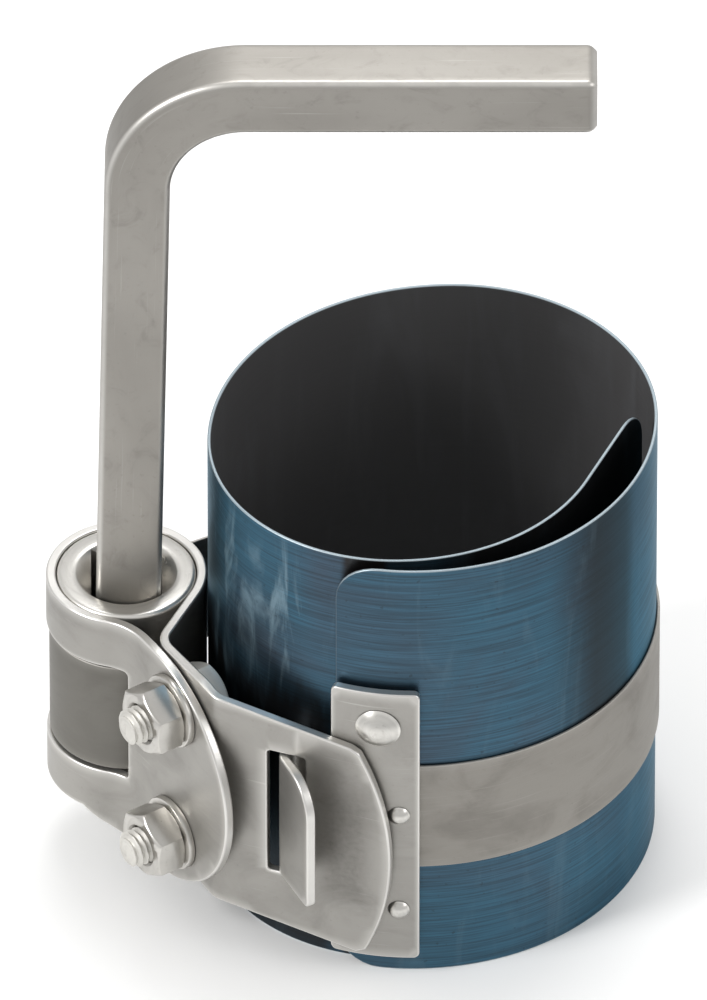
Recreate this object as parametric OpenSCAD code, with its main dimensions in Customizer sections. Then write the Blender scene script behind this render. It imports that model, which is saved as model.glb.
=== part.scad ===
// Piston ring compressor. A rolled spring-steel sleeve is drawn tight round a piston by a steel band,
// and a square key winds the band onto a spindle that a folded strap housing grips like a brake.
// X points right, Y away from the front and Z up. The origin is on the sleeve's axis, at its bottom rim.

/* [Sleeve] */
// Height of the rolled sleeve
sleeve_h = 80; // [68:1:120]
// Mean diameter of the rolled section, at the middle of the wall
sleeve_d = 68.6; // [62:0.2:90]
// Thickness of the spring steel
sleeve_t = 0.5; // [0.3:0.05:0.7]
// Difference between the long and the short diameter of the slack roll
sleeve_oval = 5.2; // [2:0.2:7]
// How far the inner layer steps in where it passes under the outer end
layer_step = 2.6; // [2.2:0.1:3.6]
// Direction of the outer end, as an angle round the axis
outer_end_angle = 248; // [244:1:252]
// Radius of the free inner tail, which follows the wall
tail_r = 32; // [30:0.5:34]
// Turn of that tail round the inside
tail_turn = 66; // [58:1:68]
// Length of the straight at the tail's end
tail_end_len = 21; // [12:0.5:22]
// Radius of the rounded corners at both ends of the sheet
corner_r = 7; // [3:0.5:10]

/* [Tension band] */
// Width of the steel band
band_w = 18.5; // [12:0.5:24]
// Thickness of the steel band
band_t = 0.5; // [0.3:0.05:0.7]
// Height of the band's lower edge above the bottom rim
band_z = 20; // [16:0.5:24]
// Gap between the band and the sleeve that it lies on
band_gap = 0.06; // [0.04:0.02:0.2]
// Thickness of the turns already wound on the spindle
wound_t = 1.5; // [1:0.1:1.6]
// Gap between the wound turns and the run that feeds them
wound_gap = 0.3; // [0.3:0.05:0.5]

/* [Housing] */
// Thickness of the housing sheet
strap_t = 1.5; // [1:0.1:2]
// Height of the curl's lower edge
curl_z = 12.8; // [10:0.2:14]
// Height of the curl
curl_h = 38.2; // [36:0.2:44]
// Inner radius of the curl
curl_r = 10.9; // [10:0.1:13]
// Gap between the curl and the sleeve beside it
curl_gap = 0.15; // [0.1:0.05:2]
// Direction in which the two clamping ears run from the curl
ear_dir = -56; // [-62:1:-50]
// Distance of the ears' middle plane from the spindle axis
ear_offset = 5.4; // [4.6:0.1:6.4]
// Gap between the two ears
ear_gap = 0.3; // [0.2:0.1:0.8]
// Radius of the bend from the curl into the front ear
front_bend_r = 10; // [7:0.5:13]
// Direction at which the curl runs out into the neck
neck_angle = -25; // [-30:1:-18]
// Radius of the neck bend
neck_r = 4; // [3:0.25:5]
// Radius of the front ear's rounded end
ear_r = 21.5; // [19:0.5:23]
// Distance of that round's centre from the spindle axis, along the ear
ear_centre = 16.5; // [16:0.1:19]
// Direction of the long plate that runs on to the sleeve's outer end
plate_dir = -20; // [-24:1:-16]
// Length of the long plate, from its bend to the tip of its rounded end
plate_len = 28.5; // [24:0.5:29]
// Radius of the bend between the rear ear and the long plate
plate_bend_r = 3; // [2:0.25:4]
// Height of the long plate's upper edge at its far end
plate_top = 45.5; // [43:0.5:47]
// Height of the long plate's lower edge at its far end
plate_low = 5; // [3:0.5:8]
// Radius of the long plate's rounded end
plate_end_r = 44; // [36:1:60]
// Gap between the long plate and the foot plate that it lies on
plate_gap = 0.1; // [0.05:0.05:0.4]
// Width of the slot that the hook comes out through
slot_w = 6.2; // [5:0.1:8]
// Height of the slot
slot_h = 24; // [20:0.5:26]
// Height of the slot's lower edge
slot_z = 18.5; // [16:0.5:21]

/* [Foot plate and hook] */
// Thickness of the foot plate
foot_t = 1.5; // [1:0.1:2]
// Height of the foot plate's lower edge
foot_z = 4; // [2:0.5:6]
// Height of the foot plate
foot_h = 53; // [48:0.5:58]
// Angle round the roll's centre where the foot plate's right edge is
foot_right_angle = 272; // [270:1:276]
// Width of the foot plate, as an angle round the roll's centre
foot_sweep = 24; // [20:1:26]
// Angle round the roll's centre where the hook folds back
hook_angle = 239.5; // [238:0.5:242]
// Radius of the hook's fold at the middle of the sheet
hook_bend_r = 2; // [1.6:0.1:2.4]
// Turn of the hook's fold
hook_turn = 147; // [140:1:155]
// Length of the hook's free flap
hook_len = 9; // [6:0.5:11]
// Radius of the rounded upper corner of the flap
hook_corner_r = 6; // [3:0.5:7]
// Clearance between the hook and the slot's edges
hook_gap = 0.3; // [0.2:0.1:0.8]

/* [Rivets] */
// Shank diameter of the upper rivet
top_rivet_d = 3; // [2.4:0.2:4]
// Head diameter of the upper rivet
top_rivet_head_d = 7; // [5:0.2:7.4]
// Height of the upper rivet
top_rivet_z = 50.2; // [49.6:0.2:52]
// Shank diameter of the two small rivets
small_rivet_d = 2; // [1.6:0.2:2.4]
// Head diameter of the two small rivets
small_rivet_head_d = 3.4; // [3:0.2:4]
// Height of the rivet that also holds the band
band_rivet_z = 32.9; // [31:0.1:35]
// Height of the lower rivet
low_rivet_z = 13.9; // [11:0.1:16]
// Angle round the roll's centre of the upper rivet
top_rivet_angle = 261; // [259:0.5:264]
// Angle round the roll's centre of the two small rivets
small_rivet_angle = 266.5; // [266:0.5:268]
// Height of the rivet heads
rivet_head_h = 1; // [0.6:0.1:1.2]

/* [Clamp bolts] */
// Thread diameter of the clamp bolts
bolt_d = 6; // [5:0.5:6]
// Width across the flats of heads and nuts
hex_af = 10; // [8:0.5:10]
// Height of the bolt heads
head_h = 4; // [3:0.2:4.4]
// Height of the nuts
nut_h = 5; // [4:0.2:6]
// Washer diameter
washer_d = 12; // [10:0.5:12.5]
// Washer thickness
washer_t = 1.2; // [0.8:0.1:1.6]
// Length of thread that stands out past each nut
thread_proud = 2.6; // [1:0.2:4]
// Distance of the bolts from the spindle axis, along the ears
bolt_at = 23.6; // [23.4:0.1:24.6]
// Height of the upper bolt
upper_bolt_z = 43.2; // [42:0.2:44]
// Height of the lower bolt
lower_bolt_z = 18.6; // [17:0.2:20]

/* [Spindle and key] */
// Running clearance of the spindle in the curl, on the radius
run_gap = 0.08; // [0.04:0.01:0.1]
// Thickness of the closed floor under the key socket
socket_floor = 3; // [2:0.5:4]
// Depth of the conical lead-in at the socket's mouth
socket_lead = 2; // [1:0.25:3]
// Width of the key's square bar
key_w = 10; // [8:0.1:10.2]
// Clearance between the key and its socket, on each side
key_gap = 0.45; // [0.45:0.01:0.5]
// Lean of the key in its loose socket, towards the sleeve
key_lean = 1.2; // [0:0.1:1.2]
// Height of the key's upper face above the bottom rim
key_top = 152; // [130:1:180]
// Reach of the key's arm from the spindle axis
key_reach = 72; // [50:0.5:100]
// Inner radius of the key's bend
key_bend_r = 11.5; // [8:0.5:16]
// Length of the tapered lead at both ends of the bar
key_lead = 1.6; // [0.8:0.2:2.4]

/* [Hidden] */
$fn = 96;
// Overlap that lets a cutting tool break clean through a face
cut = 1;
// Lap by which each stretch of a bent sheet grows into the one before it
joint_lap = 0.3;
// Hair by which every second stretch is thinner on each side, so that the lap lies inside its neighbour
joint_step = 0.03;
// Small clearance of riveted and threaded pieces in their holes
hole_gap = 0.05;
// Clearance of the clamp bolts in the ears and washers
bolt_gap = 0.15;
blued = "#2d5b78";
bare_steel = "#8f8c86";
nickel = "#b9b6af";
key_steel = "#a9a69f";
bright_steel = "#c9c6bf";

// The slack roll is a four-arc oval whose long axis runs from left front to right back.
oval_axis = 45;
long_half = sleeve_d / 2 + sleeve_oval / 4;
oval_shift = sleeve_oval / 2 / (2 - sqrt(2));
end_r = long_half - oval_shift;
side_r = end_r + oval_shift * sqrt(2);
roll_centre = -oval_shift * [cos(oval_axis), sin(oval_axis)];

// A path is a start pose [x, y, heading] and a list of [length, 0] straights and [radius, turn] arcs.
// Turns to the left are positive.
function unit(a) = [cos(a), sin(a)];
function arc_centre(p, r, turn) = [p.x, p.y] + sign(turn) * r * unit(p[2] + 90);
function next_pose(p, s) = s[1] == 0
    ? [p.x + s[0] * cos(p[2]), p.y + s[0] * sin(p[2]), p[2]]
    : let (c = arc_centre(p, s[0], s[1]), q = c - sign(s[1]) * s[0] * unit(p[2] + s[1] + 90))
        [q.x, q.y, p[2] + s[1]];
function pose_at(p, path, n) = n == 0 ? p : next_pose(pose_at(p, path, n - 1), path[n - 1]);

// One stretch of sheet of thickness t, standing from height z to z + h.
// It starts a lap before its pose, so that it grows into the stretch before it.
module stretch(p, s, t, z, h, lap = 0) {
    if (s[1] == 0)
        translate([p.x, p.y, z]) rotate([0, 0, p[2]]) translate([-lap, -t / 2, 0])
            cube([s[0] + lap, t, h]);
    else {
        c = arc_centre(p, s[0], s[1]);
        lap_turn = lap / s[0] * 180 / PI;
        from = s[1] > 0 ? p[2] - 90 - lap_turn : p[2] + 90 + s[1];
        translate([c.x, c.y, z]) rotate([0, 0, from])
            rotate_extrude(angle = abs(s[1]) + lap_turn) translate([s[0] - t / 2, 0]) square([t, h]);
    }
}

// Everything below a height. Sheets are made too tall and trimmed with it, so that their top is one plane.
over = 0.5;
module below(top) {
    span = 2 * sleeve_d;
    translate([-span, -span, -cut]) cube([2 * span, 2 * span, top + cut]);
}

// Sheet along the stretches first to last of a path.
module sheet(p, path, first, last, t, z, h) {
    for (i = [first:last])
        stretch(pose_at(p, path, i), path[i], t - 2 * joint_step * (i % 2), z, h, i > 0 ? joint_lap : 0);
}

// What is cut off to round a corner of a sheet that starts at pose p, at its upper or lower edge z.
// The round is shifted by a little towards the corner, so that it crosses both edges at a small angle.
corner_ease = 0.1;
module corner_cut(p, r, depth, z, up) {
    translate([p.x, p.y, z]) rotate([0, 0, p[2]]) mirror([0, 0, up ? 0 : 1])
        difference() {
            translate([-cut, -depth, -r]) cube([r + cut, 2 * depth, r + cut]);
            translate([r - corner_ease, 0, corner_ease - r]) rotate([90, 0, 0])
                cylinder(r = r, h = 3 * depth, center = true);
        }
}

// Places its children on a radial line of the roll's front arc: +Z outwards from radius r.
module on_front_arc(a, z, r) {
    translate([roll_centre.x, roll_centre.y, z]) rotate([0, 0, a]) translate([r, 0, 0])
        rotate([0, 90, 0]) children();
}

// Sleeve: outer end, three quarters of the oval, the stepped inner layer and the free tail.
sleeve_start_at = roll_centre + end_r * unit(outer_end_angle);
sleeve_start = [sleeve_start_at.x, sleeve_start_at.y, outer_end_angle + 90];
sleeve_path = [
    [end_r, 270 - outer_end_angle],
    [side_r, 90],
    [end_r, 90],
    [side_r, 90],
    [end_r - layer_step, 90],
    [tail_r, tail_turn],
    [tail_end_len, 0]
];
sleeve_last = len(sleeve_path) - 1;
sleeve_tail = pose_at(sleeve_start, sleeve_path, len(sleeve_path));

// Hole for one rivet, deep enough for the foot plate, the band and the sleeve's outer layer.
module rivet_hole(a, z, d) {
    on_front_arc(a, z, end_r)
        cylinder(d = d + 2 * hole_gap, h = 2 * (foot_out_r - end_r + cut), center = true);
}

module rivet_holes() {
    rivet_hole(top_rivet_angle, top_rivet_z, top_rivet_d);
    for (z = [band_rivet_z, low_rivet_z])
        rivet_hole(small_rivet_angle, z, small_rivet_d);
}

module sleeve() {
    tail_end = [sleeve_tail.x, sleeve_tail.y, sleeve_tail[2] + 180];
    tall = sleeve_h + over;
    color(blued) intersection() {
        union() {
            difference() {
                sheet(sleeve_start, sleeve_path, 0, 0, sleeve_t, 0, tall);
                corner_cut(sleeve_start, corner_r, corner_r, sleeve_h, true);
                corner_cut(sleeve_start, corner_r, corner_r, 0, false);
                rivet_holes();
            }
            sheet(sleeve_start, sleeve_path, 1, sleeve_last - 1, sleeve_t, 0, tall);
            difference() {
                sheet(sleeve_start, sleeve_path, sleeve_last, sleeve_last, sleeve_t, 0, tall);
                corner_cut(tail_end, corner_r, corner_r, sleeve_h, true);
                corner_cut(tail_end, corner_r, corner_r, 0, false);
            }
        }
        below(sleeve_h);
    }
}

// Spindle place: beside the roll's left side, clear of it by the curl gap.
curl_mid_r = curl_r + strap_t / 2;
curl_out_r = curl_r + strap_t;
spindle_at = [roll_centre.x - end_r - sleeve_t / 2 - curl_gap - curl_out_r, 0];

// Spindle radii, from the curl inwards: running fit, flange, feeding run, wound turns, core.
flange_r = curl_r - run_gap;
feed_gap = 0.2;
feed_out_r = flange_r - feed_gap;
feed_r = feed_out_r - band_t / 2;
wound_r = feed_out_r - band_t - wound_gap;
core_r = wound_r - wound_t;

// Band: along the front arc from under the foot plate, round the right, the back and the left,
// off on a tangent to the spindle and round its outer side.
band_lift = sleeve_t / 2 + band_gap + band_t / 2;
// Angle by which the band starts inside the foot plate's left edge
band_tuck = 4;
band_start_angle = foot_right_angle - foot_sweep + band_tuck;
band_start_at = roll_centre + (end_r + band_lift) * unit(band_start_angle);
band_start = [band_start_at.x, band_start_at.y, band_start_angle + 90];
back_pose = pose_at(sleeve_start, sleeve_path, 3);
back_centre = arc_centre(back_pose, side_r, 90);
to_spindle = spindle_at - back_centre;
tangent_fall = side_r + band_lift - feed_r;
// Heading change at which the band leaves the sleeve, and where its run round the spindle ends
leave_turn = (atan2(to_spindle.y, to_spindle.x) + 360 - acos(tangent_fall / norm(to_spindle))) % 360;
feed_end_angle = 285;
band_path = [
    [end_r + band_lift, 270 - band_start_angle],
    [side_r + band_lift, 90],
    [end_r + band_lift, 90],
    [side_r + band_lift, leave_turn - 90],
    [sqrt(pow(norm(to_spindle), 2) - pow(tangent_fall, 2)), 0],
    [feed_r, feed_end_angle - leave_turn]
];

module tension_band() {
    color(bare_steel) difference() {
        intersection() {
            sheet(band_start, band_path, 0, len(band_path) - 1, band_t, band_z, band_w + over);
            below(band_z + band_w);
        }
        rivet_holes();
    }
}

module wound_band() {
    pocket = spindle_rivet_head_r + pocket_gap;
    color(bare_steel) translate([spindle_at.x, spindle_at.y, band_z]) difference() {
        cylinder(r = wound_r, h = band_w);
        translate([0, 0, -cut]) cylinder(r = core_r + hole_gap, h = band_w + 2 * cut);
        translate([0, 0, band_w / 2]) rotate([0, 90, 0])
            cylinder(r = pocket, h = core_r + spindle_rivet_head_h + pocket_gap);
    }
}

// Rivet that holds the band's inner end on the spindle's core, hidden under the wound turns.
spindle_rivet_r = 1.2;
spindle_rivet_head_r = 2;
spindle_rivet_head_h = 0.6;
spindle_rivet_len = 2;
// Clearance round its head, where the first turn passes over it
pocket_gap = 0.15;

module spindle_rivet() {
    seat = core_r + hole_gap;
    color(bright_steel) translate([spindle_at.x, spindle_at.y, band_z + band_w / 2]) rotate([0, 90, 0]) {
        translate([0, 0, seat - spindle_rivet_len]) cylinder(r = spindle_rivet_r, h = spindle_rivet_len);
        translate([0, 0, seat]) cylinder(r = spindle_rivet_head_r, h = spindle_rivet_head_h);
    }
}

// Spindle: two flanges that run in the curl, a core for the band and a square socket with a lead-in.
spindle_edge = 0.6;
flange_gap = 0.4;
socket_w = key_w + 2 * key_gap;
socket_mouth_r = socket_w / sqrt(2) + corner_ease;
curl_top = curl_z + curl_h;

module spindle() {
    low_shoulder = band_z - flange_gap;
    high_shoulder = band_z + band_w + flange_gap;
    color(bright_steel) translate([spindle_at.x, spindle_at.y, 0]) difference() {
        rotate_extrude() polygon([
            [0, curl_z],
            [flange_r - spindle_edge, curl_z],
            [flange_r, curl_z + spindle_edge],
            [flange_r, low_shoulder],
            [core_r, low_shoulder],
            [core_r, high_shoulder],
            [flange_r, high_shoulder],
            [flange_r, curl_top - spindle_edge],
            [flange_r - spindle_edge, curl_top],
            [0, curl_top]
        ]);
        translate([-socket_w / 2, -socket_w / 2, curl_z + socket_floor])
            cube([socket_w, socket_w, curl_h]);
        translate([0, 0, curl_top - socket_lead])
            cylinder(r1 = socket_mouth_r - socket_lead, r2 = socket_mouth_r + cut, h = socket_lead + cut);
        translate([core_r - spindle_rivet_len, 0, band_z + band_w / 2]) rotate([0, 90, 0])
            cylinder(r = spindle_rivet_r + hole_gap, h = spindle_rivet_len + cut);
    }
}

// Housing plan: front ear, bend, curl round the spindle, neck, rear ear, bend and long plate.
ear_pitch = strap_t + ear_gap;
front_ear = ear_offset + ear_pitch / 2;
rear_ear = ear_offset - ear_pitch / 2;
ear_way = unit(ear_dir);
ear_out = unit(ear_dir - 90);
front_ear_from = sqrt(pow(curl_mid_r + front_bend_r, 2) - pow(front_ear + front_bend_r, 2));
front_turn = atan2(front_ear_from, front_ear + front_bend_r);
front_ear_to = ear_centre + ear_r;
front_end_at = spindle_at + front_ear * ear_out + front_ear_to * ear_way;
front_end = [front_end_at.x, front_end_at.y, ear_dir + 180];
curl_turn = 270 + ear_dir + front_turn - neck_angle;
neck_run = (rear_ear - neck_r - (curl_mid_r + neck_r) * cos(neck_angle - ear_dir + 90))
    / cos(neck_angle - ear_dir);
rear_ear_from = (curl_mid_r + neck_r) * cos(neck_angle - ear_dir)
    + neck_run * cos(neck_angle - 90 - ear_dir);

// The long plate lies on the foot plate where both run the same way.
foot_in_r = end_r + sleeve_t / 2 + 2 * band_gap + band_t;
foot_mid_r = foot_in_r + foot_t / 2;
foot_out_r = foot_in_r + foot_t;
plate_out = unit(plate_dir - 90);
plate_way = unit(plate_dir);
plate_mid = foot_out_r + plate_gap + strap_t / 2 + roll_centre * plate_out;
ear_corner = (plate_mid - (spindle_at + rear_ear * ear_out) * plate_out) / (ear_way * plate_out);
corner_at = spindle_at + rear_ear * ear_out + ear_corner * ear_way;
plate_turn = plate_dir - ear_dir;
bend_run = plate_bend_r * tan(plate_turn / 2);
housing_path = [
    [front_ear_to - front_ear_from, 0],
    [front_bend_r, front_turn],
    [curl_mid_r, -curl_turn],
    [neck_run, 0],
    [neck_r, ear_dir - neck_angle + 90],
    [ear_corner - bend_run - rear_ear_from, 0],
    [plate_bend_r, plate_turn],
    [plate_len - bend_run, 0]
];

// Lays its 2D children on an upright plane through a plan point: x along the direction, y up.
module on_plane(at, way, depth) {
    translate([at.x, at.y, 0]) rotate([0, 0, way]) rotate([90, 0, 0])
        linear_extrude(height = depth, center = true) children();
}

// Outline of the front ear: a round end that reaches below the strap it grows from.
ear_low = curl_top - 2 * ear_r;
module ear_outline() {
    translate([ear_centre, curl_top - ear_r + corner_ease]) circle(r = ear_r);
    translate([-curl_out_r, curl_z]) square([curl_out_r + ear_centre, curl_h + over]);
}

// Outline of the rear ear and the long plate, with falling edges and a rounded end.
plate_fall_from = -3;
rear_ear_reach = 16;
module plate_outline() {
    fall = (curl_top - plate_top) / (plate_len - plate_fall_from);
    intersection() {
        polygon([
            [-rear_ear_reach, curl_z],
            [plate_len, plate_low],
            [plate_len, plate_top],
            [-rear_ear_reach, curl_top + fall * (plate_fall_from + rear_ear_reach)]
        ]);
        translate([plate_len - plate_end_r, (plate_top + plate_low) / 2]) circle(r = plate_end_r);
    }
}

// Bolt axes run square through both ears. +Z points outwards from the spindle axis.
module on_bolt(z, out) {
    at = spindle_at + bolt_at * ear_way;
    translate([at.x, at.y, z]) rotate([0, 0, ear_dir - 90]) translate([out, 0, 0]) rotate([0, 90, 0])
        children();
}

bolt_zs = [upper_bolt_z, lower_bolt_z];
bolt_seat = rear_ear - strap_t / 2;
washer_seat = front_ear + strap_t / 2;
nut_seat = washer_seat + washer_t;
bolt_len = nut_seat + nut_h + thread_proud - bolt_seat;

// Window in the curl that lets the band in, from the back round the left into the front bend.
window_margin = 4;
window_from = leave_turn - acos((feed_r - band_t / 2) / curl_out_r) - window_margin;
window_to = 270;
window_gap = 0.5;
module curl_window() {
    deep = strap_t + front_bend_r / 2;
    translate([spindle_at.x, spindle_at.y, band_z - window_gap]) rotate([0, 0, window_from])
        rotate_extrude(angle = window_to - window_from)
            translate([curl_r - cut, 0]) square([deep + cut, band_w + 2 * window_gap]);
}

// Hook slot in the long plate, just left of the hook's fold.
hook_root = roll_centre + (foot_mid_r + hook_bend_r) * unit(hook_angle);
hook_along = (hook_root - corner_at) * plate_way;
// How far the slot's right edge is set back from the outside of the fold
slot_set_back = 1.4;
slot_right = hook_along + hook_bend_r + foot_t / 2 + hook_gap - slot_set_back;
module hook_slot() {
    on_plane(corner_at, plate_dir, 3 * strap_t) translate([slot_right - slot_w, slot_z])
        square([slot_w, slot_h]);
}

module housing_strap() {
    low = min(ear_low, plate_low);
    tall = curl_top - low + over;
    deep = 6 * curl_out_r;
    color(nickel) difference() {
        intersection() {
            union() {
                intersection() {
                    sheet(front_end, housing_path, 0, 1, strap_t, low, tall);
                    on_plane(spindle_at, ear_dir, deep) ear_outline();
                }
                sheet(front_end, housing_path, 2, 4, strap_t, curl_z, curl_h + over);
                intersection() {
                    sheet(front_end, housing_path, 5, 7, strap_t, low, tall);
                    on_plane(corner_at, plate_dir, deep) plate_outline();
                }
            }
            below(curl_top);
        }
        curl_window();
        hook_slot();
        for (z = bolt_zs) on_bolt(z, bolt_seat - cut)
            cylinder(d = bolt_d + 2 * bolt_gap, h = washer_seat - bolt_seat + 2 * cut);
    }
}

// Foot plate: a curved plate on the sleeve's outer end, with a tongue that folds back as a hook.
foot_start_at = roll_centre + foot_mid_r * unit(foot_right_angle);
foot_start = [foot_start_at.x, foot_start_at.y, foot_right_angle - 90];
foot_path = [
    [foot_mid_r, -foot_sweep],
    [foot_mid_r, -(foot_right_angle - foot_sweep - hook_angle)],
    [hook_bend_r, hook_turn],
    [hook_len, 0]
];

module foot_plate() {
    hook_z = slot_z + hook_gap;
    hook_h = slot_h - 2 * hook_gap;
    flap_tip = pose_at(foot_start, foot_path, len(foot_path));
    flap_end = [flap_tip.x, flap_tip.y, flap_tip[2] + 180];
    color(nickel) {
        difference() {
            sheet(foot_start, foot_path, 0, 0, foot_t, foot_z, foot_h);
            rivet_holes();
        }
        intersection() {
            union() {
                sheet(foot_start, foot_path, 1, 2, foot_t, hook_z, hook_h + over);
                difference() {
                    sheet(foot_start, foot_path, 3, 3, foot_t, hook_z, hook_h + over);
                    corner_cut(flap_end, hook_corner_r, foot_t, hook_z + hook_h, true);
                }
            }
            below(hook_z + hook_h);
        }
    }
}

// Rivet through the foot plate and the sleeve's outer layer, with a low head outside and a flat one inside.
module rivet(a, z, d, head_d) {
    inner_head = 0.5;
    inner_seat_gap = 0.1;
    inner_r = end_r - sleeve_t / 2 - inner_seat_gap;
    dome_r = (pow(head_d / 2, 2) + pow(rivet_head_h, 2)) / 2 / rivet_head_h;
    color(bright_steel) on_front_arc(a, z, 0) {
        translate([0, 0, inner_r - inner_head]) cylinder(d = d + 2 * inner_head, h = inner_head);
        translate([0, 0, inner_r]) cylinder(d = d, h = foot_out_r - inner_r + hole_gap);
        intersection() {
            translate([0, 0, foot_out_r + hole_gap]) cylinder(d = head_d, h = rivet_head_h);
            translate([0, 0, foot_out_r + hole_gap + rivet_head_h - dome_r]) sphere(r = dome_r);
        }
    }
}

module top_rivet() { rivet(top_rivet_angle, top_rivet_z, top_rivet_d, top_rivet_head_d); }
module band_rivet() { rivet(small_rivet_angle, band_rivet_z, small_rivet_d, small_rivet_head_d); }
module low_rivet() { rivet(small_rivet_angle, low_rivet_z, small_rivet_d, small_rivet_head_d); }

// Six-sided block with chamfered corners, as on bolt heads and nuts.
hex_corner = hex_af / sqrt(3);
hex_chamfer = (hex_corner - hex_af / 2) * 0.9;
hex_chamfer_h = hex_chamfer * 0.6;
module hex_block(h, both_ends) {
    intersection() {
        cylinder(r = hex_corner, h = h, $fn = 6);
        rotate_extrude() polygon([
            [0, 0],
            [both_ends ? hex_corner - hex_chamfer : hex_corner, 0],
            [hex_corner, both_ends ? hex_chamfer_h : 0],
            [hex_corner, h - hex_chamfer_h],
            [hex_corner - hex_chamfer, h],
            [0, h]
        ]);
    }
}

module clamp_bolt(z) {
    tip = 0.8;
    color(bright_steel) {
        on_bolt(z, bolt_seat) mirror([0, 0, 1]) hex_block(head_h, false);
        on_bolt(z, bolt_seat) cylinder(d = bolt_d, h = bolt_len - tip);
        on_bolt(z, bolt_seat + bolt_len - tip) cylinder(d1 = bolt_d, d2 = bolt_d - 2 * tip, h = tip);
    }
}

module clamp_washer(z) {
    color(nickel) on_bolt(z, washer_seat) difference() {
        cylinder(d = washer_d, h = washer_t);
        translate([0, 0, -cut]) cylinder(d = bolt_d + 2 * bolt_gap, h = washer_t + 2 * cut);
    }
}

module clamp_nut(z) {
    color(bright_steel) on_bolt(z, nut_seat) difference() {
        hex_block(nut_h, true);
        translate([0, 0, -cut]) cylinder(d = bolt_d + 2 * hole_gap, h = nut_h + 2 * cut);
    }
}

module upper_bolt() { clamp_bolt(upper_bolt_z); }
module lower_bolt() { clamp_bolt(lower_bolt_z); }
module upper_washer() { clamp_washer(upper_bolt_z); }
module lower_washer() { clamp_washer(lower_bolt_z); }
module upper_nut() { clamp_nut(upper_bolt_z); }
module lower_nut() { clamp_nut(lower_bolt_z); }

// Square bar from z = 0 up, its lower end tapered for an easy start.
module key_bar(length) {
    corner = key_w / sqrt(2);
    intersection() {
        translate([-key_w / 2, -key_w / 2, 0]) cube([key_w, key_w, length]);
        rotate_extrude() polygon([
            [0, 0],
            [corner - key_lead, 0],
            [corner + cut, key_lead + cut],
            [corner + cut, length],
            [0, length]
        ]);
    }
}

// Key: it leans about a point half-way down the socket, and its bend is opened so that the arm stays level.
module key() {
    bend_mid = key_bend_r + key_w / 2;
    bend_z = key_top - key_w / 2 - bend_mid;
    bend_w = key_w - 2 * joint_step;
    lap_turn = joint_lap / bend_mid * 180 / PI;
    foot = curl_z + socket_floor + hole_gap + key_w / 2 * sin(key_lean);
    pivot = (foot + curl_top - socket_lead) / 2;
    leg_top = bend_z + bend_mid * sin(key_lean);
    leg = (leg_top - foot) / cos(key_lean);
    bend_x = (leg_top - pivot) * tan(key_lean) + bend_mid * cos(key_lean);
    color(key_steel) translate([spindle_at.x, spindle_at.y, 0]) {
        translate([(foot - pivot) * tan(key_lean), 0, foot]) rotate([0, key_lean, 0]) key_bar(leg);
        translate([bend_x, 0, bend_z]) rotate([90, 0, 0]) rotate([0, 0, 90 - lap_turn])
            rotate_extrude(angle = 90 - key_lean + 2 * lap_turn)
                translate([key_bend_r + joint_step, -bend_w / 2]) square(bend_w);
        translate([key_reach, 0, key_top - key_w / 2]) rotate([0, -90, 0]) key_bar(key_reach - bend_x);
    }
}

sleeve();
tension_band();
wound_band();
spindle();
spindle_rivet();
housing_strap();
foot_plate();
top_rivet();
band_rivet();
low_rivet();
upper_bolt();
lower_bolt();
upper_washer();
lower_washer();
upper_nut();
lower_nut();
key();
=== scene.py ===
"""Looks of a piston ring compressor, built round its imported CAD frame.

The sleeve, band, strap housing and foot plate are bent sheets: a flat outline is laid along a path of straights
and arcs, thickened, and its rim is rounded. The turned and six-sided pieces are grids round an axis, and the key
is a rounded square carried along an L. Lengths are millimetres and angles degrees, except in the shader graphs
and the studio, which use metres as Blender does; meshes are written in metres.
"""

from __future__ import annotations

import logging
import math
from dataclasses import dataclass, field
from enum import Enum, IntEnum
from typing import Any, Sequence

import bpy
import numpy as np
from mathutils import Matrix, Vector
from mathutils.geometry import delaunay_2d_cdt


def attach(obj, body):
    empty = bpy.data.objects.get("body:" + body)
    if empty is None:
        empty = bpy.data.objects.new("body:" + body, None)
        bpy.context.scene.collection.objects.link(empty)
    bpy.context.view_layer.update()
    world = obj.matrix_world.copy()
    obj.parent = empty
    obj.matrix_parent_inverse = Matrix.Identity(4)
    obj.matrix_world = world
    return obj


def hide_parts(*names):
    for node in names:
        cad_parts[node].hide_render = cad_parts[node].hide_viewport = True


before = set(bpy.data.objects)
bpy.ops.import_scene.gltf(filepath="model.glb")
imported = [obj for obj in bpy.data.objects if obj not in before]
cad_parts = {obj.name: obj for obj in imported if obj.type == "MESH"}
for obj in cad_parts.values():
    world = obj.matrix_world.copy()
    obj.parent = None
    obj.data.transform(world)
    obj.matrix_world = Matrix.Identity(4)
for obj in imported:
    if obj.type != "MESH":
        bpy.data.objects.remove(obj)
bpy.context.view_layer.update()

LOG = logging.getLogger("ring_compressor")
MM = 0.001
LOOP_STEP = 0.9  # largest distance between points on an outline's straight sides
CORNER_POINTS = 9  # points on an outline's rounded corner
SLIVER = 0.001  # twice the area below which a flat triangle counts as none
AXIS_R = 0.02  # radius of the small face that closes a turned piece on its axis
SHARP_ANGLE = 34.0  # turned pieces shade sharp beyond this angle

Colour = tuple[float, float, float]
Place = tuple[float, float, float]
Pose = tuple[float, float, float]
Row = tuple[float | np.ndarray, float | np.ndarray, float]


class Body(Enum):
    """CAD bodies that pieces ride on."""

    WRAP = "wrap"
    WINDER = "winder"
    KEY = "square_key"


class Pattern(Enum):
    """Where a finish takes its pattern's coordinates from."""

    FLAT = "flat"
    OBJECT = "object"


class Fold(IntEnum):
    """Breaks along the housing's strap, counted from the end of the front ear."""

    FRONT_BEND = 1
    CURL = 2
    REAR_EAR = 5
    PLATE = 7
    END = 8


# Shader graphs


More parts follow.
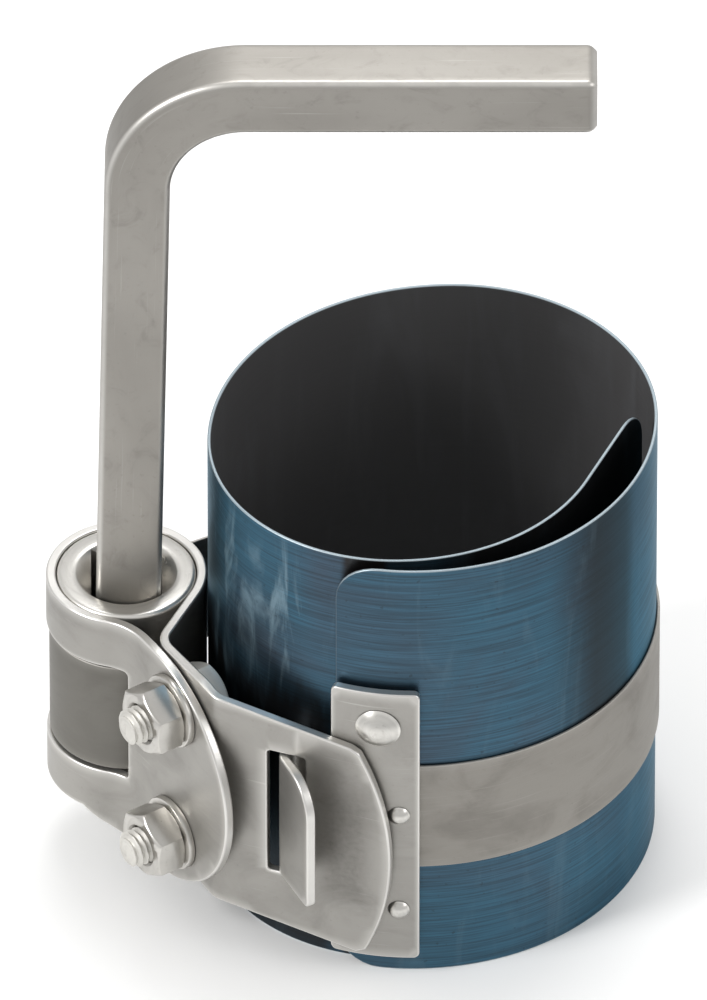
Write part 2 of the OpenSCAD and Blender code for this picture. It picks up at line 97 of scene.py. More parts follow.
class Wire:
    """A value socket that can be used in arithmetic; each operation adds a Math node."""

    def __init__(self, graph: Graph, socket: bpy.types.NodeSocket) -> None:
        """Keeps the socket and the graph that it belongs to."""
        self.graph = graph
        self.socket = socket

    def __add__(self, other: Value) -> Wire:
        """Sum."""
        return self.graph.math("ADD", self, other)

    def __radd__(self, other: Value) -> Wire:
        """Sum with a number on the left."""
        return self.graph.math("ADD", other, self)

    def __sub__(self, other: Value) -> Wire:
        """Difference."""
        return self.graph.math("SUBTRACT", self, other)

    def __rsub__(self, other: Value) -> Wire:
        """Difference from a number on the left."""
        return self.graph.math("SUBTRACT", other, self)

    def __mul__(self, other: Value) -> Wire:
        """Product."""
        return self.graph.math("MULTIPLY", self, other)

    def __rmul__(self, other: Value) -> Wire:
        """Product with a number on the left."""
        return self.graph.math("MULTIPLY", other, self)

    def __truediv__(self, other: Value) -> Wire:
        """Quotient."""
        return self.graph.math("DIVIDE", self, other)

    def __pow__(self, other: Value) -> Wire:
        """Power."""
        return self.graph.math("POWER", self, other)


Value = Wire | float


class Graph:
    """Node graph of one material, with one method that adds any node."""

    def __init__(self, name: str) -> None:
        """Starts an empty material.

        Args:
            name: The material's name.
        """
        self.material = bpy.data.materials.new(name)
        self.material.use_nodes = True
        self.tree = self.material.node_tree
        self.tree.nodes.clear()

    def node(self, kind: str, settings: dict[str, Any] | None = None,
             inputs: dict[str | int, Any] | None = None) -> bpy.types.Node:
        """Adds one node, sets its settings first and then its sockets.

        Args:
            kind: The node's type.
            settings: Its properties.
            inputs: Socket name or number to a value or a Wire.

        Returns:
            The node.
        """
        made = self.tree.nodes.new(kind)
        for name, value in (settings or {}).items():
            setattr(made, name, value)
        for name, value in (inputs or {}).items():
            if isinstance(value, Wire):
                self.tree.links.new(value.socket, made.inputs[name])
            else:
                made.inputs[name].default_value = value
        return made

    def math(self, operation: str, *values: Value, clamp: bool = False) -> Wire:
        """Adds a Math node and returns its value."""
        made = self.node("ShaderNodeMath", {"operation": operation, "use_clamp": clamp}, dict(enumerate(values)))
        return Wire(self, made.outputs[0])

    def clamp(self, value: Wire) -> Wire:
        """Keeps a value between 0 and 1."""
        return self.math("ADD", value, 0.0, clamp=True)

    def step(self, value: Wire, low: float, high: float) -> Wire:
        """Smooth step from 0 at low to 1 at high."""
        made = self.node("ShaderNodeMapRange", {"interpolation_type": "SMOOTHSTEP"},
                         {"Value": value, "From Min": low, "From Max": high, "To Min": 0.0, "To Max": 1.0})
        return Wire(self, made.outputs["Result"])

    def attribute(self, name: str, output: str = "Fac") -> Wire:
        """Value of a mesh attribute, or its vector with the output Vector."""
        return Wire(self, self.node("ShaderNodeAttribute", {"attribute_name": name}).outputs[output])

    def object_place(self) -> Wire:
        """Object coordinates, in metres."""
        return Wire(self, self.node("ShaderNodeTexCoord").outputs["Object"])

    def stretch(self, vector: Wire, factors: Colour) -> Wire:
        """Multiplies a vector's parts by three factors."""
        made = self.node("ShaderNodeVectorMath", {"operation": "MULTIPLY"}, {0: vector, 1: factors})
        return Wire(self, made.outputs["Vector"])

    def part(self, vector: Wire, axis: str) -> Wire:
        """One part of a vector."""
        return Wire(self, self.node("ShaderNodeSeparateXYZ", None, {0: vector}).outputs[axis])

    def noise(self, vector: Wire, cells: Colour, detail: float, roughness: float, distortion: float = 0.0) -> Wire:
        """Noise whose cells per metre are given for each axis.

        Args:
            vector: Coordinates in metres.
            cells: Cells per metre along each axis.
            detail: Octaves of finer noise.
            roughness: Share of the finer octaves.
            distortion: How far the noise is bent.

        Returns:
            A value round one half.
        """
        made = self.node("ShaderNodeTexNoise", None, {
            "Vector": self.stretch(vector, cells), "Scale": 1.0, "Detail": detail,
            "Roughness": roughness, "Distortion": distortion})
        return Wire(self, made.outputs[0])

    def mix(self, factor: Value, a: Colour | Wire, b: Colour | Wire) -> Wire:
        """Mixes two colours.

        Args:
            factor: Share of the second colour.
            a: First colour.
            b: Second colour.

        Returns:
            The mixed colour.
        """
        made = self.node("ShaderNodeMix", {"data_type": "RGBA", "blend_type": "MIX", "clamp_factor": True}, {
            0: factor,
            6: a if isinstance(a, Wire) else (*a, 1.0),
            7: b if isinstance(b, Wire) else (*b, 1.0)})
        return Wire(self, made.outputs[2])

    def bump(self, height: Wire, distance: float) -> Wire:
        """Normal from a height between 0 and 1, where 1 stands for a distance in metres."""
        made = self.node("ShaderNodeBump", None, {"Height": height, "Distance": distance, "Strength": 1.0})
        return Wire(self, made.outputs["Normal"])

    def surface(self, colour: Wire, roughness: Wire, metallic: Value, normal: Wire | None = None,
                fixed: dict[str | int, Any] | None = None) -> bpy.types.Material:
        """Closes the graph with a Principled shader.

        Args:
            colour: Base colour.
            roughness: Roughness.
            metallic: Metallic share.
            normal: Bumped normal, if any.
            fixed: Sockets that are the same all over.

        Returns:
            The finished material.
        """
        inputs: dict[str | int, Any] = {"Base Color": colour, "Roughness": roughness, "Metallic": metallic}
        if normal is not None:
            inputs["Normal"] = normal
        shader = self.node("ShaderNodeBsdfPrincipled", None, {**inputs, **(fixed or {})})
        self.node("ShaderNodeOutputMaterial", None, {"Surface": Wire(self, shader.outputs[0])})
        return self.material


# Finishes: each build method lays tones on each other by noises, then wears the edges, and relief is in metres


@dataclass(frozen=True)
class Zone:
    """A patch of a flat sheet, in millimetres: a stretch along it between two heights, with soft borders."""

    start: float
    end: float
    soft: float
    strength: float
    low: float = -100.0
    high: float = 200.0
    soft_z: float = 5.0

    def mask(self, g: Graph, along: Wire, height: Wire) -> Wire:
        """Strength inside the patch, falling to 0 across its borders; the coordinates are in metres."""
        inside = self._span(g, along, self.start, self.end, self.soft)
        return inside * self._span(g, height, self.low, self.high, self.soft_z) * self.strength

    @staticmethod
    def _span(g: Graph, value: Wire, low: float, high: float, soft: float) -> Wire:
        """1 between two limits, with smooth steps at both."""
        rise = g.step(value, (low - soft) * MM, (low + soft) * MM)
        return rise * (1.0 - g.step(value, (high - soft) * MM, (high + soft) * MM))


@dataclass(frozen=True)
class BluedSpringSteel:
    """Heat-blued, brushed spring steel: blue outside, nearly black inside, with a bright cut rim."""

    name: str = "blued_spring_steel"
    blue: Colour = (0.056, 0.136, 0.200)
    slate: Colour = (0.068, 0.096, 0.132)
    # dark streaks and specks of the bluing, and also the colour of the painted reflections and painted shade
    dark_streak_and_painted_shade: Colour = (0.034, 0.029, 0.027)
    haze: Colour = (0.230, 0.330, 0.390)
    inside: Colour = (0.092, 0.088, 0.088)
    inside_smear: Colour = (0.120, 0.120, 0.125)
    rim: Colour = (0.420, 0.490, 0.530)
    grazing: Colour = (0.52, 0.72, 0.84)
    # painted reflections and painted shade along the sheet: dark reflections of the surroundings and of the housing,
    # and shade in the gap at the outer end's corner and under the overlap
    painted_reflection_and_shade_zones: tuple[Zone, ...] = (
        Zone(37.5, 50.0, 4.5, 0.66, low=36.0, soft_z=6.0), Zone(42.0, 53.0, 2.2, 0.72, low=36.0, soft_z=6.0),
        Zone(180.0, 189.0, 3.5, 0.55), Zone(176.0, 213.5, 2.0, 0.85, high=49.0, soft_z=4.0),
        Zone(215.4, 222.0, 0.7, 0.96), Zone(232.0, 400.0, 4.0, 0.90))
    smear_zone: Zone = Zone(178.0, 208.0, 3.0, 0.80, low=44.0, high=77.0)
    ragged: float = 0.016
    dim_end: tuple[float, float] = (0.0003, 0.0016)
    relief: float = 0.000012

    def build(self) -> bpy.types.Material:
        """Streaks run along the sheet, smears lie across it, and the rim is worn bright.

        Painted reflections and painted shade darken a few zones along the sheet, also where the inner layer runs
        under the outer end, whose own upright edge is worn less.

        Returns:
            The material.
        """
        g = Graph(self.name)
        flat, edge, side = g.attribute("flat", "Vector"), g.attribute("edge"), g.attribute("side")
        along, height = g.part(flat, "X"), g.part(flat, "Y")
        cloud = g.noise(flat, (22.0, 30.0, 1.0), 4.0, 0.55, 0.6)
        streak = g.noise(flat, (55.0, 2600.0, 1.0), 3.0, 0.6)
        scratch = g.noise(flat, (18.0, 5200.0, 1.0), 2.0, 0.5)
        smear = g.noise(flat, (150.0, 26.0, 1.0), 5.0, 0.6, 1.2)
        speck = g.noise(flat, (900.0, 900.0, 1.0), 2.0, 0.5)
        tone = g.mix(g.step(cloud, 0.36, 0.66), self.blue, self.slate)
        tone = g.mix(g.step(streak, 0.30, 0.72) * 0.50, tone, self.dark_streak_and_painted_shade)
        ragged = height + self.ragged * (smear - 0.5)
        # painted reflections and painted shade, zone by zone
        for zone in self.painted_reflection_and_shade_zones:
            tone = g.mix(zone.mask(g, along, ragged), tone, self.dark_streak_and_painted_shade)
        smeared = self.smear_zone.mask(g, along, height) + 0.10
        tone = g.mix(g.step(smear, 0.52, 0.72) * smeared, tone, self.haze)
        tone = g.mix(g.step(scratch, 0.66, 0.80) * 0.22, tone, self.haze)
        tone = g.mix(g.step(speck, 0.66, 0.75) * 0.35, tone, self.dark_streak_and_painted_shade)
        bore = g.mix(g.step(smear, 0.45, 0.75) * 0.45, self.inside, self.inside_smear)
        tone = g.mix(side, bore, tone)
        worn = g.clamp(g.step(edge, 0.50, 1.0) * (0.60 + 0.5 * streak))
        colour = g.mix(worn * (0.25 + 0.75 * g.step(along, *self.dim_end)), tone, self.rim)
        rough = 0.27 + 0.14 * streak + 0.10 * smear + 0.24 * (1.0 - side)
        bump = g.bump(0.5 * streak + 0.3 * scratch + 0.2 * speck, self.relief)
        return g.surface(colour, rough, 0.35 + 0.58 * side, bump, {"Specular Tint": (*self.grazing, 1.0)})


@dataclass(frozen=True)
class RolledSteel:
    """Matte rolled strip: grain along its length, dull spots, brighter edges, and painted shade on the stretch that
    runs through the housing's window to the spindle.
    """

    name: str = "rolled_band_steel"
    base: Colour = (0.300, 0.285, 0.260)
    dull: Colour = (0.205, 0.192, 0.174)
    light: Colour = (0.470, 0.452, 0.420)
    # colour of the painted shade on the band, and of random cloudy dimming on a CAD node
    dim_and_painted_shade: Colour = (0.150, 0.145, 0.130)
    # painted shade where the band runs through the housing's window to the spindle
    painted_window_shade: Zone = Zone(176.0, 400.0, 7.0, 0.75)
    metallic: float = 0.86
    relief: float = 0.000014
    pattern: Pattern = Pattern.FLAT

    def build(self) -> bpy.types.Material:
        """Long grain, cloudy dullness and a worn rim; a CAD node, which has no flat pattern, wears in spots.

        Returns:
            The material.
        """
        g = Graph(self.name)
        if self.pattern is Pattern.FLAT:
            place = g.attribute("flat", "Vector")
            worn = g.step(g.attribute("edge"), 0.3, 1.0) * 0.75
            # painted shade on the stretch inside the housing's window
            shade_and_dim_mask = self.painted_window_shade.mask(g, g.part(place, "X"), g.part(place, "Y"))
            grain = g.noise(place, (60.0, 3000.0, 1.0), 3.0, 0.55)
            cloud = g.noise(place, (70.0, 110.0, 1.0), 5.0, 0.6, 0.8)
            pit = g.noise(place, (1300.0, 1300.0, 1.0), 2.0, 0.5)
        else:
            place = g.object_place()
            grain = g.noise(place, (90.0, 90.0, 3000.0), 3.0, 0.55)
            cloud = g.noise(place, (90.0, 90.0, 110.0), 5.0, 0.6, 0.8)
            pit = g.noise(place, (1300.0, 1300.0, 1300.0), 2.0, 0.5)
            worn = g.step(pit, 0.6, 0.8) * 0.2
            # without a flat pattern the same colour darkens cloudy patches at random, with no painted shade
            shade_and_dim_mask = 0.4 * cloud
        tone = g.mix(g.step(cloud, 0.40, 0.75) * 0.7, self.base, self.dull)
        tone = g.mix(g.step(grain, 0.55, 0.80) * 0.35, tone, self.light)
        tone = g.mix(g.step(pit, 0.64, 0.76) * 0.30, tone, self.dull)
        colour = g.mix(worn, g.mix(shade_and_dim_mask, tone, self.dim_and_painted_shade), self.light)
        rough = 0.42 + 0.14 * grain + 0.10 * cloud
        return g.surface(colour, rough, self.metallic, g.bump(0.6 * grain + 0.4 * pit, self.relief))


@dataclass(frozen=True)
class NickelSheet:
    """Satin nickelled pressed sheet: slight waves from the press, fine scratches and bright edges."""

    name: str = "nickel_sheet"
    base: Colour = (0.360, 0.348, 0.326)
    dull: Colour = (0.235, 0.225, 0.208)
    light: Colour = (0.740, 0.725, 0.695)
    # colour of the painted shadow of the hook on the plate, which also stands for the darkness of the etched
    # lettering there
    shadow_and_lettering_tone: Colour = (0.120, 0.113, 0.102)
    hook_shadow_and_lettering: Zone | None = None
    ragged: float = 0.010
    metallic: float = 0.90
    relief: float = 0.00011

    def build(self) -> bpy.types.Material:
        """Press waves as a low bump, cloudy plating, scratches two ways and a polished rim.

        Returns:
            The material.
        """
        g = Graph(self.name)
        flat, edge = g.attribute("flat", "Vector"), g.attribute("edge")
        wave = g.noise(flat, (120.0, 120.0, 1.0), 2.0, 0.4)
        cloud = g.noise(flat, (80.0, 95.0, 1.0), 5.0, 0.62, 0.9)
        along = g.noise(flat, (70.0, 2400.0, 1.0), 2.0, 0.5)
        across = g.noise(flat, (2100.0, 110.0, 1.0), 2.0, 0.5)
        speck = g.noise(flat, (1100.0, 1100.0, 1.0), 3.0, 0.55)
        tone = g.mix(g.step(cloud, 0.42, 0.78) * 0.55, self.base, self.dull)
        tone = g.mix(g.step(along, 0.66, 0.80) * 0.30, tone, self.light)
        tone = g.mix(g.step(across, 0.70, 0.82) * 0.22, tone, self.dull)
        tone = g.mix(g.step(speck, 0.62, 0.76) * 0.28, tone, self.dull)
        # painted shadow of the hook on the plate, together with the darkness of its etched lettering
        if self.hook_shadow_and_lettering is not None:
            ragged = g.part(flat, "Y") + self.ragged * (cloud - 0.5)
            tone = g.mix(self.hook_shadow_and_lettering.mask(g, g.part(flat, "X"), ragged) * (0.55 + 0.9 * speck), tone, self.shadow_and_lettering_tone)
        worn = g.clamp(g.step(edge, 0.25, 0.9) * (0.65 + 0.5 * cloud))
        rough = 0.30 + 0.16 * cloud + 0.08 * along - 0.10 * worn
        bump = g.bump(0.85 * wave + 0.06 * along + 0.09 * speck, self.relief)
        return g.surface(g.mix(worn, tone, self.light), rough, self.metallic, bump)


@dataclass(frozen=True)
class TurnedSteel:
    """Bright turned or plated steel of the spindle, rivets and clamp screws."""

    name: str
    base: Colour
    dull: Colour
    ring_cells: float
    roughness: float
    metallic: float = 0.94
    polish: float = 1.25
    relief: float = 0.000010

    def build(self) -> bpy.types.Material:
        """Tool marks run round the axis; dirt sits in cloudy patches; edges are polished.

        Returns:
            The material.
        """
        g = Graph(self.name)
        flat, edge = g.attribute("flat", "Vector"), g.attribute("edge")
        ring = g.noise(flat, (40.0, self.ring_cells, 1.0), 2.0, 0.5)
        cloud = g.noise(flat, (160.0, 160.0, 1.0), 4.0, 0.6, 0.6)
        speck = g.noise(g.object_place(), (1500.0, 1500.0, 1500.0), 2.0, 0.5)
        tone = g.mix(g.step(cloud, 0.40, 0.75) * 0.6, self.base, self.dull)
        tone = g.mix(g.step(speck, 0.62, 0.76) * 0.35, tone, self.dull)
        tone = g.mix(g.step(ring, 0.45, 0.75) * 0.22, tone, self.dull)
        light = tuple(min(1.0, self.polish * c) for c in self.base)
        colour = g.mix(g.step(edge, 0.3, 1.0) * 0.7, tone, light)
        rough = self.roughness + 0.12 * cloud + 0.08 * ring
        return g.surface(colour, rough, self.metallic, g.bump(0.7 * ring + 0.3 * speck, self.relief))


@dataclass(frozen=True)
class DrawnKeySteel:
    """Satin drawn square bar: grain along the bar, handling marks, softened bright corners."""

    name: str = "drawn_key_steel"
    base: Colour = (0.372, 0.354, 0.326)
    dull: Colour = (0.240, 0.226, 0.205)
    light: Colour = (0.690, 0.672, 0.636)
    metallic: float = 0.90
    relief: float = 0.00003

    def build(self) -> bpy.types.Material:
        """Grain along the bar, mottled plating, pits and worn corners.

        Returns:
            The material.
        """
        g = Graph(self.name)
        flat, edge = g.attribute("flat", "Vector"), g.attribute("edge")
        grain = g.noise(flat, (45.0, 1900.0, 1.0), 3.0, 0.55)
        mottle = g.noise(flat, (190.0, 240.0, 1.0), 5.0, 0.66, 1.0)
        cloud = g.noise(flat, (28.0, 60.0, 1.0), 3.0, 0.5)
        pit = g.noise(flat, (1000.0, 1000.0, 1.0), 3.0, 0.55)
        tone = g.mix(g.step(cloud, 0.38, 0.70) * 0.35, self.base, self.dull)
        tone = g.mix(g.step(mottle, 0.50, 0.76) * 0.42, tone, self.dull)
        tone = g.mix(g.step(grain, 0.60, 0.80) * 0.30, tone, self.light)
        tone = g.mix(g.step(pit, 0.62, 0.76) * 0.32, tone, self.dull)
        worn = g.clamp(g.step(edge, 0.2, 0.9) * (0.45 + 0.6 * mottle))
        rough = 0.33 + 0.15 * mottle + 0.08 * grain - 0.06 * worn
        bump = g.bump(0.45 * mottle + 0.3 * grain + 0.25 * pit, self.relief)
        return g.surface(g.mix(worn, tone, self.light), rough, self.metallic, bump)


@dataclass(frozen=True)
class PaleFloor:
    """Plain pale studio floor, a little greyer outside the pool of light round the object."""

    name: str = "pale_floor"
    base: Colour = (0.93, 0.93, 0.925)
    far: Colour = (0.500, 0.502, 0.506)
    middle: tuple[float, float] = (-0.006, 0.070)
    half: tuple[float, float] = (0.074, 0.165)
    fade_to: float = 2.3
    cloudy: float = 0.97

    def build(self) -> bpy.types.Material:
        """Base colour inside an ellipse about the picture's middle, fading smoothly to the far tone.

        Returns:
            The material.
        """
        g = Graph(self.name)
        place = g.object_place()
        cloud = g.noise(place, (3.0, 3.0, 3.0), 2.0, 0.5)
        across = (g.part(place, "X") - self.middle[0]) / self.half[0]
        depth = (g.part(place, "Y") - self.middle[1]) / self.half[1]
        reach = (across * across + depth * depth) ** 0.5
        near = g.mix(cloud * 0.3, self.base, tuple(self.cloudy * c for c in self.base))
        colour = g.mix(g.step(reach, 1.0, self.fade_to), near, self.far)
        return g.surface(colour, 0.55 + 0.05 * cloud, 0.0)


# Meshes


def add_object(name: str, data: bpy.types.ID) -> bpy.types.Object:
    """Adds an object to the scene.

    Args:
        name: Its name.
        data: Its mesh, camera or light.

    Returns:
        The object.
    """
    made = bpy.data.objects.new(name, data)
    bpy.context.scene.collection.objects.link(made)
    return made


@dataclass
class Piece:
    """Mesh data of one piece, in millimetres, with its pattern attributes.

    flat is the place on the unrolled surface, edge the nearness to a worn edge, and side 1 outside and 0 inside.
    """

    name: str
    points: np.ndarray
    faces: list[np.ndarray]
    flat: np.ndarray
    edge: np.ndarray
    side: np.ndarray
    normals: np.ndarray | None = None

    def place(self, body: Body, slot: str, material: bpy.types.Material, node: str) -> None:
        """Writes the mesh, dresses it and lets it ride on a body in place of a CAD node.

        Args:
            body: The body that it moves with.
            slot: The record's material slot; not used.
            material: Its finish.
            node: The CAD node that it stands for.
        """
        mesh = bpy.data.meshes.new(self.name)
        polygons = [row for block in self.faces for row in block.tolist()]
        mesh.from_pydata((self.points * MM).tolist(), [], polygons)
        self._attribute(mesh, "flat", "FLOAT_VECTOR", "vector", self.flat * MM)
        self._attribute(mesh, "edge", "FLOAT", "value", self.edge)
        self._attribute(mesh, "side", "FLOAT", "value", self.side)
        mesh.shade_smooth()
        if self.normals is None:
            mesh.set_sharp_from_angle(angle=math.radians(SHARP_ANGLE))
        else:
            mesh.normals_split_custom_set_from_vertices(self.normals.tolist())
        mesh.materials.append(material)
        made = add_object(self.name, mesh)
        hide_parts(node)
        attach(made, body.value)
        LOG.info("%s: %d points, rides on %s", self.name, len(self.points), body.value)

    @staticmethod
    def _attribute(mesh: bpy.types.Mesh, name: str, kind: str, part: str, values: np.ndarray) -> None:
        """Stores one value per point."""
        mesh.attributes.new(name, kind, "POINT").data.foreach_set(part, values.astype(np.float32).ravel())


def unit(angle: float) -> np.ndarray:
    """Plan direction at an angle in degrees."""
    return np.array([math.cos(math.radians(angle)), math.sin(math.radians(angle))])


def round_angles(columns: int) -> np.ndarray:
    """Angles of evenly spaced columns round an axis, in radians."""
    return np.linspace(0.0, 2.0 * math.pi, columns, endpoint=False)


def circle(centre: np.ndarray, radius: float, angles: np.ndarray) -> np.ndarray:
    """Points (n, 2) of a circle at angles in radians."""
    return centre + radius * np.stack([np.cos(angles), np.sin(angles)], 1)


def nearest(points: np.ndarray, border: np.ndarray) -> np.ndarray:
    """Distance of each point to the nearest of a border's points."""
    return np.min(np.linalg.norm(points[:, None] - border[None], axis=2), axis=1)


def ring_quads(index: np.ndarray, inward: bool = False) -> np.ndarray:
    """Quads between the rows of a grid of point numbers whose last column meets its first.

    Args:
        index: Point numbers (rows, columns).
        inward: True to turn the faces the other way.

    Returns:
        Corner numbers (n, 4).
    """
    ahead = np.roll(index, -1, axis=1)
    quads = np.stack([index[:-1], ahead[:-1], ahead[1:], index[1:]], -1).reshape(-1, 4)
    return quads[:, [0, 3, 2, 1]] if inward else quads


@dataclass(frozen=True)
class Stretch:
    """A straight of a length, or an arc of a radius and a turn in degrees, positive to the left."""

    size: float
    turn: float = 0.0

    @property
    def length(self) -> float:
        """Length along the middle line."""
        return self.size if self.turn == 0.0 else self.size * math.radians(abs(self.turn))


@dataclass(frozen=True)
class SheetPath:
    """Middle line of a bent sheet in plan: a start pose and stretches that join tangentially."""

    start: Pose
    stretches: tuple[Stretch, ...]

    def breaks(self) -> np.ndarray:
        """Arc lengths at which the stretches start and end."""
        return np.concatenate([[0.0], np.cumsum([s.length for s in self.stretches])])

    def at(self, s: np.ndarray) -> tuple[np.ndarray, np.ndarray]:
        """Points and headings along the path.

        On a straight the point moves along the heading; on an arc it turns about the centre that lies one radius
        to the side of the turn. The first and last stretch also carry what lies beyond the path's ends.

        Args:
            s: Arc lengths.

        Returns:
            Points (n, 2) and headings in radians (n,).
        """
        points, headings = np.zeros((len(s), 2)), np.zeros(len(s))
        x, y, heading = self.start[0], self.start[1], math.radians(self.start[2])
        marks = self.breaks()
        limits = np.concatenate([[-np.inf], marks[1:-1], [np.inf]])
        for i, stretch in enumerate(self.stretches):
            inside = (s >= limits[i]) & (s < limits[i + 1])
            run, size = s[inside] - marks[i], stretch.size
            if stretch.turn == 0.0:
                points[inside] = np.stack([x + run * math.cos(heading), y + run * math.sin(heading)], 1)
                headings[inside] = heading
                x, y = x + size * math.cos(heading), y + size * math.sin(heading)
            else:
                way = math.copysign(1.0, stretch.turn)
                centre = (x - way * size * math.sin(heading), y + way * size * math.cos(heading))
                turned = heading + way * run / size
                points[inside] = np.stack([centre[0] + way * size * np.sin(turned),
                                           centre[1] - way * size * np.cos(turned)], 1)
                headings[inside] = turned
                heading += math.radians(stretch.turn)
                x, y = centre[0] + way * size * math.sin(heading), centre[1] - way * size * math.cos(heading)
        return points, headings

    def stations(self, straight_step: float, turn_step: float) -> np.ndarray:
        """Arc lengths for the columns of a sheet's skin.

        Args:
            straight_step: Largest step on straights.
            turn_step: Largest turn between columns on arcs, in degrees.

        Returns:
            Arc lengths from start to end.
        """
        marks = self.breaks()
        found: list[np.ndarray] = []
        for begin, end, stretch in zip(marks[:-1], marks[1:], self.stretches):
            parts = stretch.length / straight_step if stretch.turn == 0.0 else abs(stretch.turn) / turn_step
            found.append(np.linspace(begin, end, max(1, math.ceil(parts)), endpoint=False))
        return np.concatenate([*found, marks[-1:]])


def resample(loop: np.ndarray, step: float = LOOP_STEP) -> np.ndarray:
    """Adds points to the long sides of a closed loop, evenly on each side.

    Args:
        loop: Points (n, 2).
        step: Largest distance wanted.

    Returns:
        The denser loop.
    """
    ahead = np.roll(loop, -1, axis=0) - loop
    counts = np.maximum(1, np.ceil(np.linalg.norm(ahead, axis=1) / step).astype(int))
    index = np.repeat(np.arange(len(loop)), counts)
    share = (np.arange(len(index)) - np.repeat(np.cumsum(counts) - counts, counts)) / counts[index]
    return loop[index] + share[:, None] * ahead[index]


def rounded_loop(corners: Sequence[tuple[float, float]], radii: Sequence[float],
                 step: float = LOOP_STEP) -> np.ndarray:
    """Closed outline with rounded corners.

    At each corner the two sides are shortened by radius / tan(half the inner angle) and joined by the arc that
    touches both, about the centre that lies radius / sin(half the angle) along the corner's bisector.

    Args:
        corners: Corner points in order.
        radii: Radius at each corner, above 0.
        step: Largest distance between points on the straight sides.

    Returns:
        Points (n, 2).
    """
    p = np.array(corners, float)
    arcs: list[np.ndarray] = []
    for before, here, after, radius in zip(np.roll(p, 1, axis=0), p, np.roll(p, -1, axis=0), radii):
        a = (before - here) / np.linalg.norm(before - here)
        b = (after - here) / np.linalg.norm(after - here)
        half = 0.5 * math.acos(float(np.clip(a @ b, -1.0, 1.0)))
        centre = here + (a + b) / np.linalg.norm(a + b) * radius / math.sin(half)
        start = here + a * radius / math.tan(half) - centre
        end = here + b * radius / math.tan(half) - centre
        first = math.atan2(start[1], start[0])
        sweep = (math.atan2(end[1], end[0]) - first + math.pi) % (2.0 * math.pi) - math.pi
        arcs.append(circle(centre, radius, first + sweep * np.linspace(0.0, 1.0, CORNER_POINTS)))
    return resample(np.concatenate(arcs), step)


def rounded_box(left: float, right: float, low: float, high: float, radius: float) -> np.ndarray:
    """Counter-clockwise rectangle with equally rounded corners, from its lower left corner."""
    return rounded_loop([(left, low), (right, low), (right, high), (left, high)], [radius] * 4)


def loop_outward(loop: np.ndarray) -> np.ndarray:
    """Outward directions of a loop whose inside lies on its left: the mean of both sides' right normals.

    The mean is lengthened by the corner's half angle, so that an offset keeps its distance to both sides.

    Args:
        loop: Points (n, 2).

    Returns:
        Directions (n, 2).
    """
    ahead = np.roll(loop, -1, axis=0) - loop
    ahead /= np.linalg.norm(ahead, axis=1, keepdims=True)
    right = np.stack([ahead[:, 1], -ahead[:, 0]], 1)
    mean = right + np.roll(right, 1, axis=0)
    mean /= np.linalg.norm(mean, axis=1, keepdims=True)
    return mean / np.maximum(0.5, np.sum(mean * right, axis=1, keepdims=True))


def inside_loops(points: np.ndarray, loops: Sequence[np.ndarray]) -> np.ndarray:
    """Even-odd test of points against loops: counts the sides that a ray to the right of each point crosses.

    Args:
        points: Points (n, 2).
        loops: Closed loops.

    Returns:
        True for each point inside an odd number of loops.
    """
    crossings = np.zeros(len(points), int)
    level = 1e-12
    for loop in loops:
        a, b = loop, np.roll(loop, -1, axis=0)
        spans = (a[None, :, 1] > points[:, None, 1]) != (b[None, :, 1] > points[:, None, 1])
        rise = np.where(np.abs(b[:, 1] - a[:, 1]) < level, level, b[:, 1] - a[:, 1])
        x = a[None, :, 0] + (points[:, None, 1] - a[None, :, 1]) * ((b - a)[:, 0] / rise)[None]
        crossings += np.sum(spans & (points[:, None, 0] < x), axis=1)
    return crossings % 2 == 1


def inside_regions(points: np.ndarray, triangles: np.ndarray, edges: np.ndarray,
                   loops: Sequence[np.ndarray]) -> np.ndarray:
    """Finds the triangles of the regions that lie inside the loops.

    Triangles that meet across an edge which is no side of a loop take the lower of their two labels, until no
    label changes. Each region is then tested at the centre of its largest triangle, so slivers follow it, and a
    region of slivers alone lies outside.

    Args:
        points: Points (n, 2).
        triangles: Corner numbers (m, 3).
        edges: Point pairs of the loops' sides.
        loops: Closed loops.

    Returns:
        True for each triangle inside.
    """
    weight = np.array([len(points), 1])
    sides = np.sort(triangles[:, [[0, 1], [1, 2], [2, 0]]].reshape(-1, 2), axis=1) @ weight
    free = ~np.isin(sides, np.sort(edges, axis=1) @ weight)
    order = np.argsort(sides[free], kind="stable")
    code, owner = sides[free][order], np.repeat(np.arange(len(triangles)), 3)[free][order]
    pair = np.flatnonzero(code[1:] == code[:-1])
    a, b = owner[pair], owner[pair + 1]
    label = np.arange(len(triangles))
    settled = False
    while not settled:
        lowest = label.copy()
        np.minimum.at(lowest, a, label[b])
        np.minimum.at(lowest, b, label[a])
        settled = bool(np.array_equal(lowest, label))
        label = lowest[lowest]
    p, q, r = (points[triangles[:, i]] for i in range(3))
    area = np.abs((q - p)[:, 0] * (r - p)[:, 1] - (q - p)[:, 1] * (r - p)[:, 0])
    by_size = np.lexsort((-area, label))
    regions, first = np.unique(label[by_size], return_index=True)
    largest = by_size[first]
    inside = inside_loops(points[triangles[largest]].mean(1), loops) & (area[largest] > SLIVER)
    return inside[np.searchsorted(regions, label)]


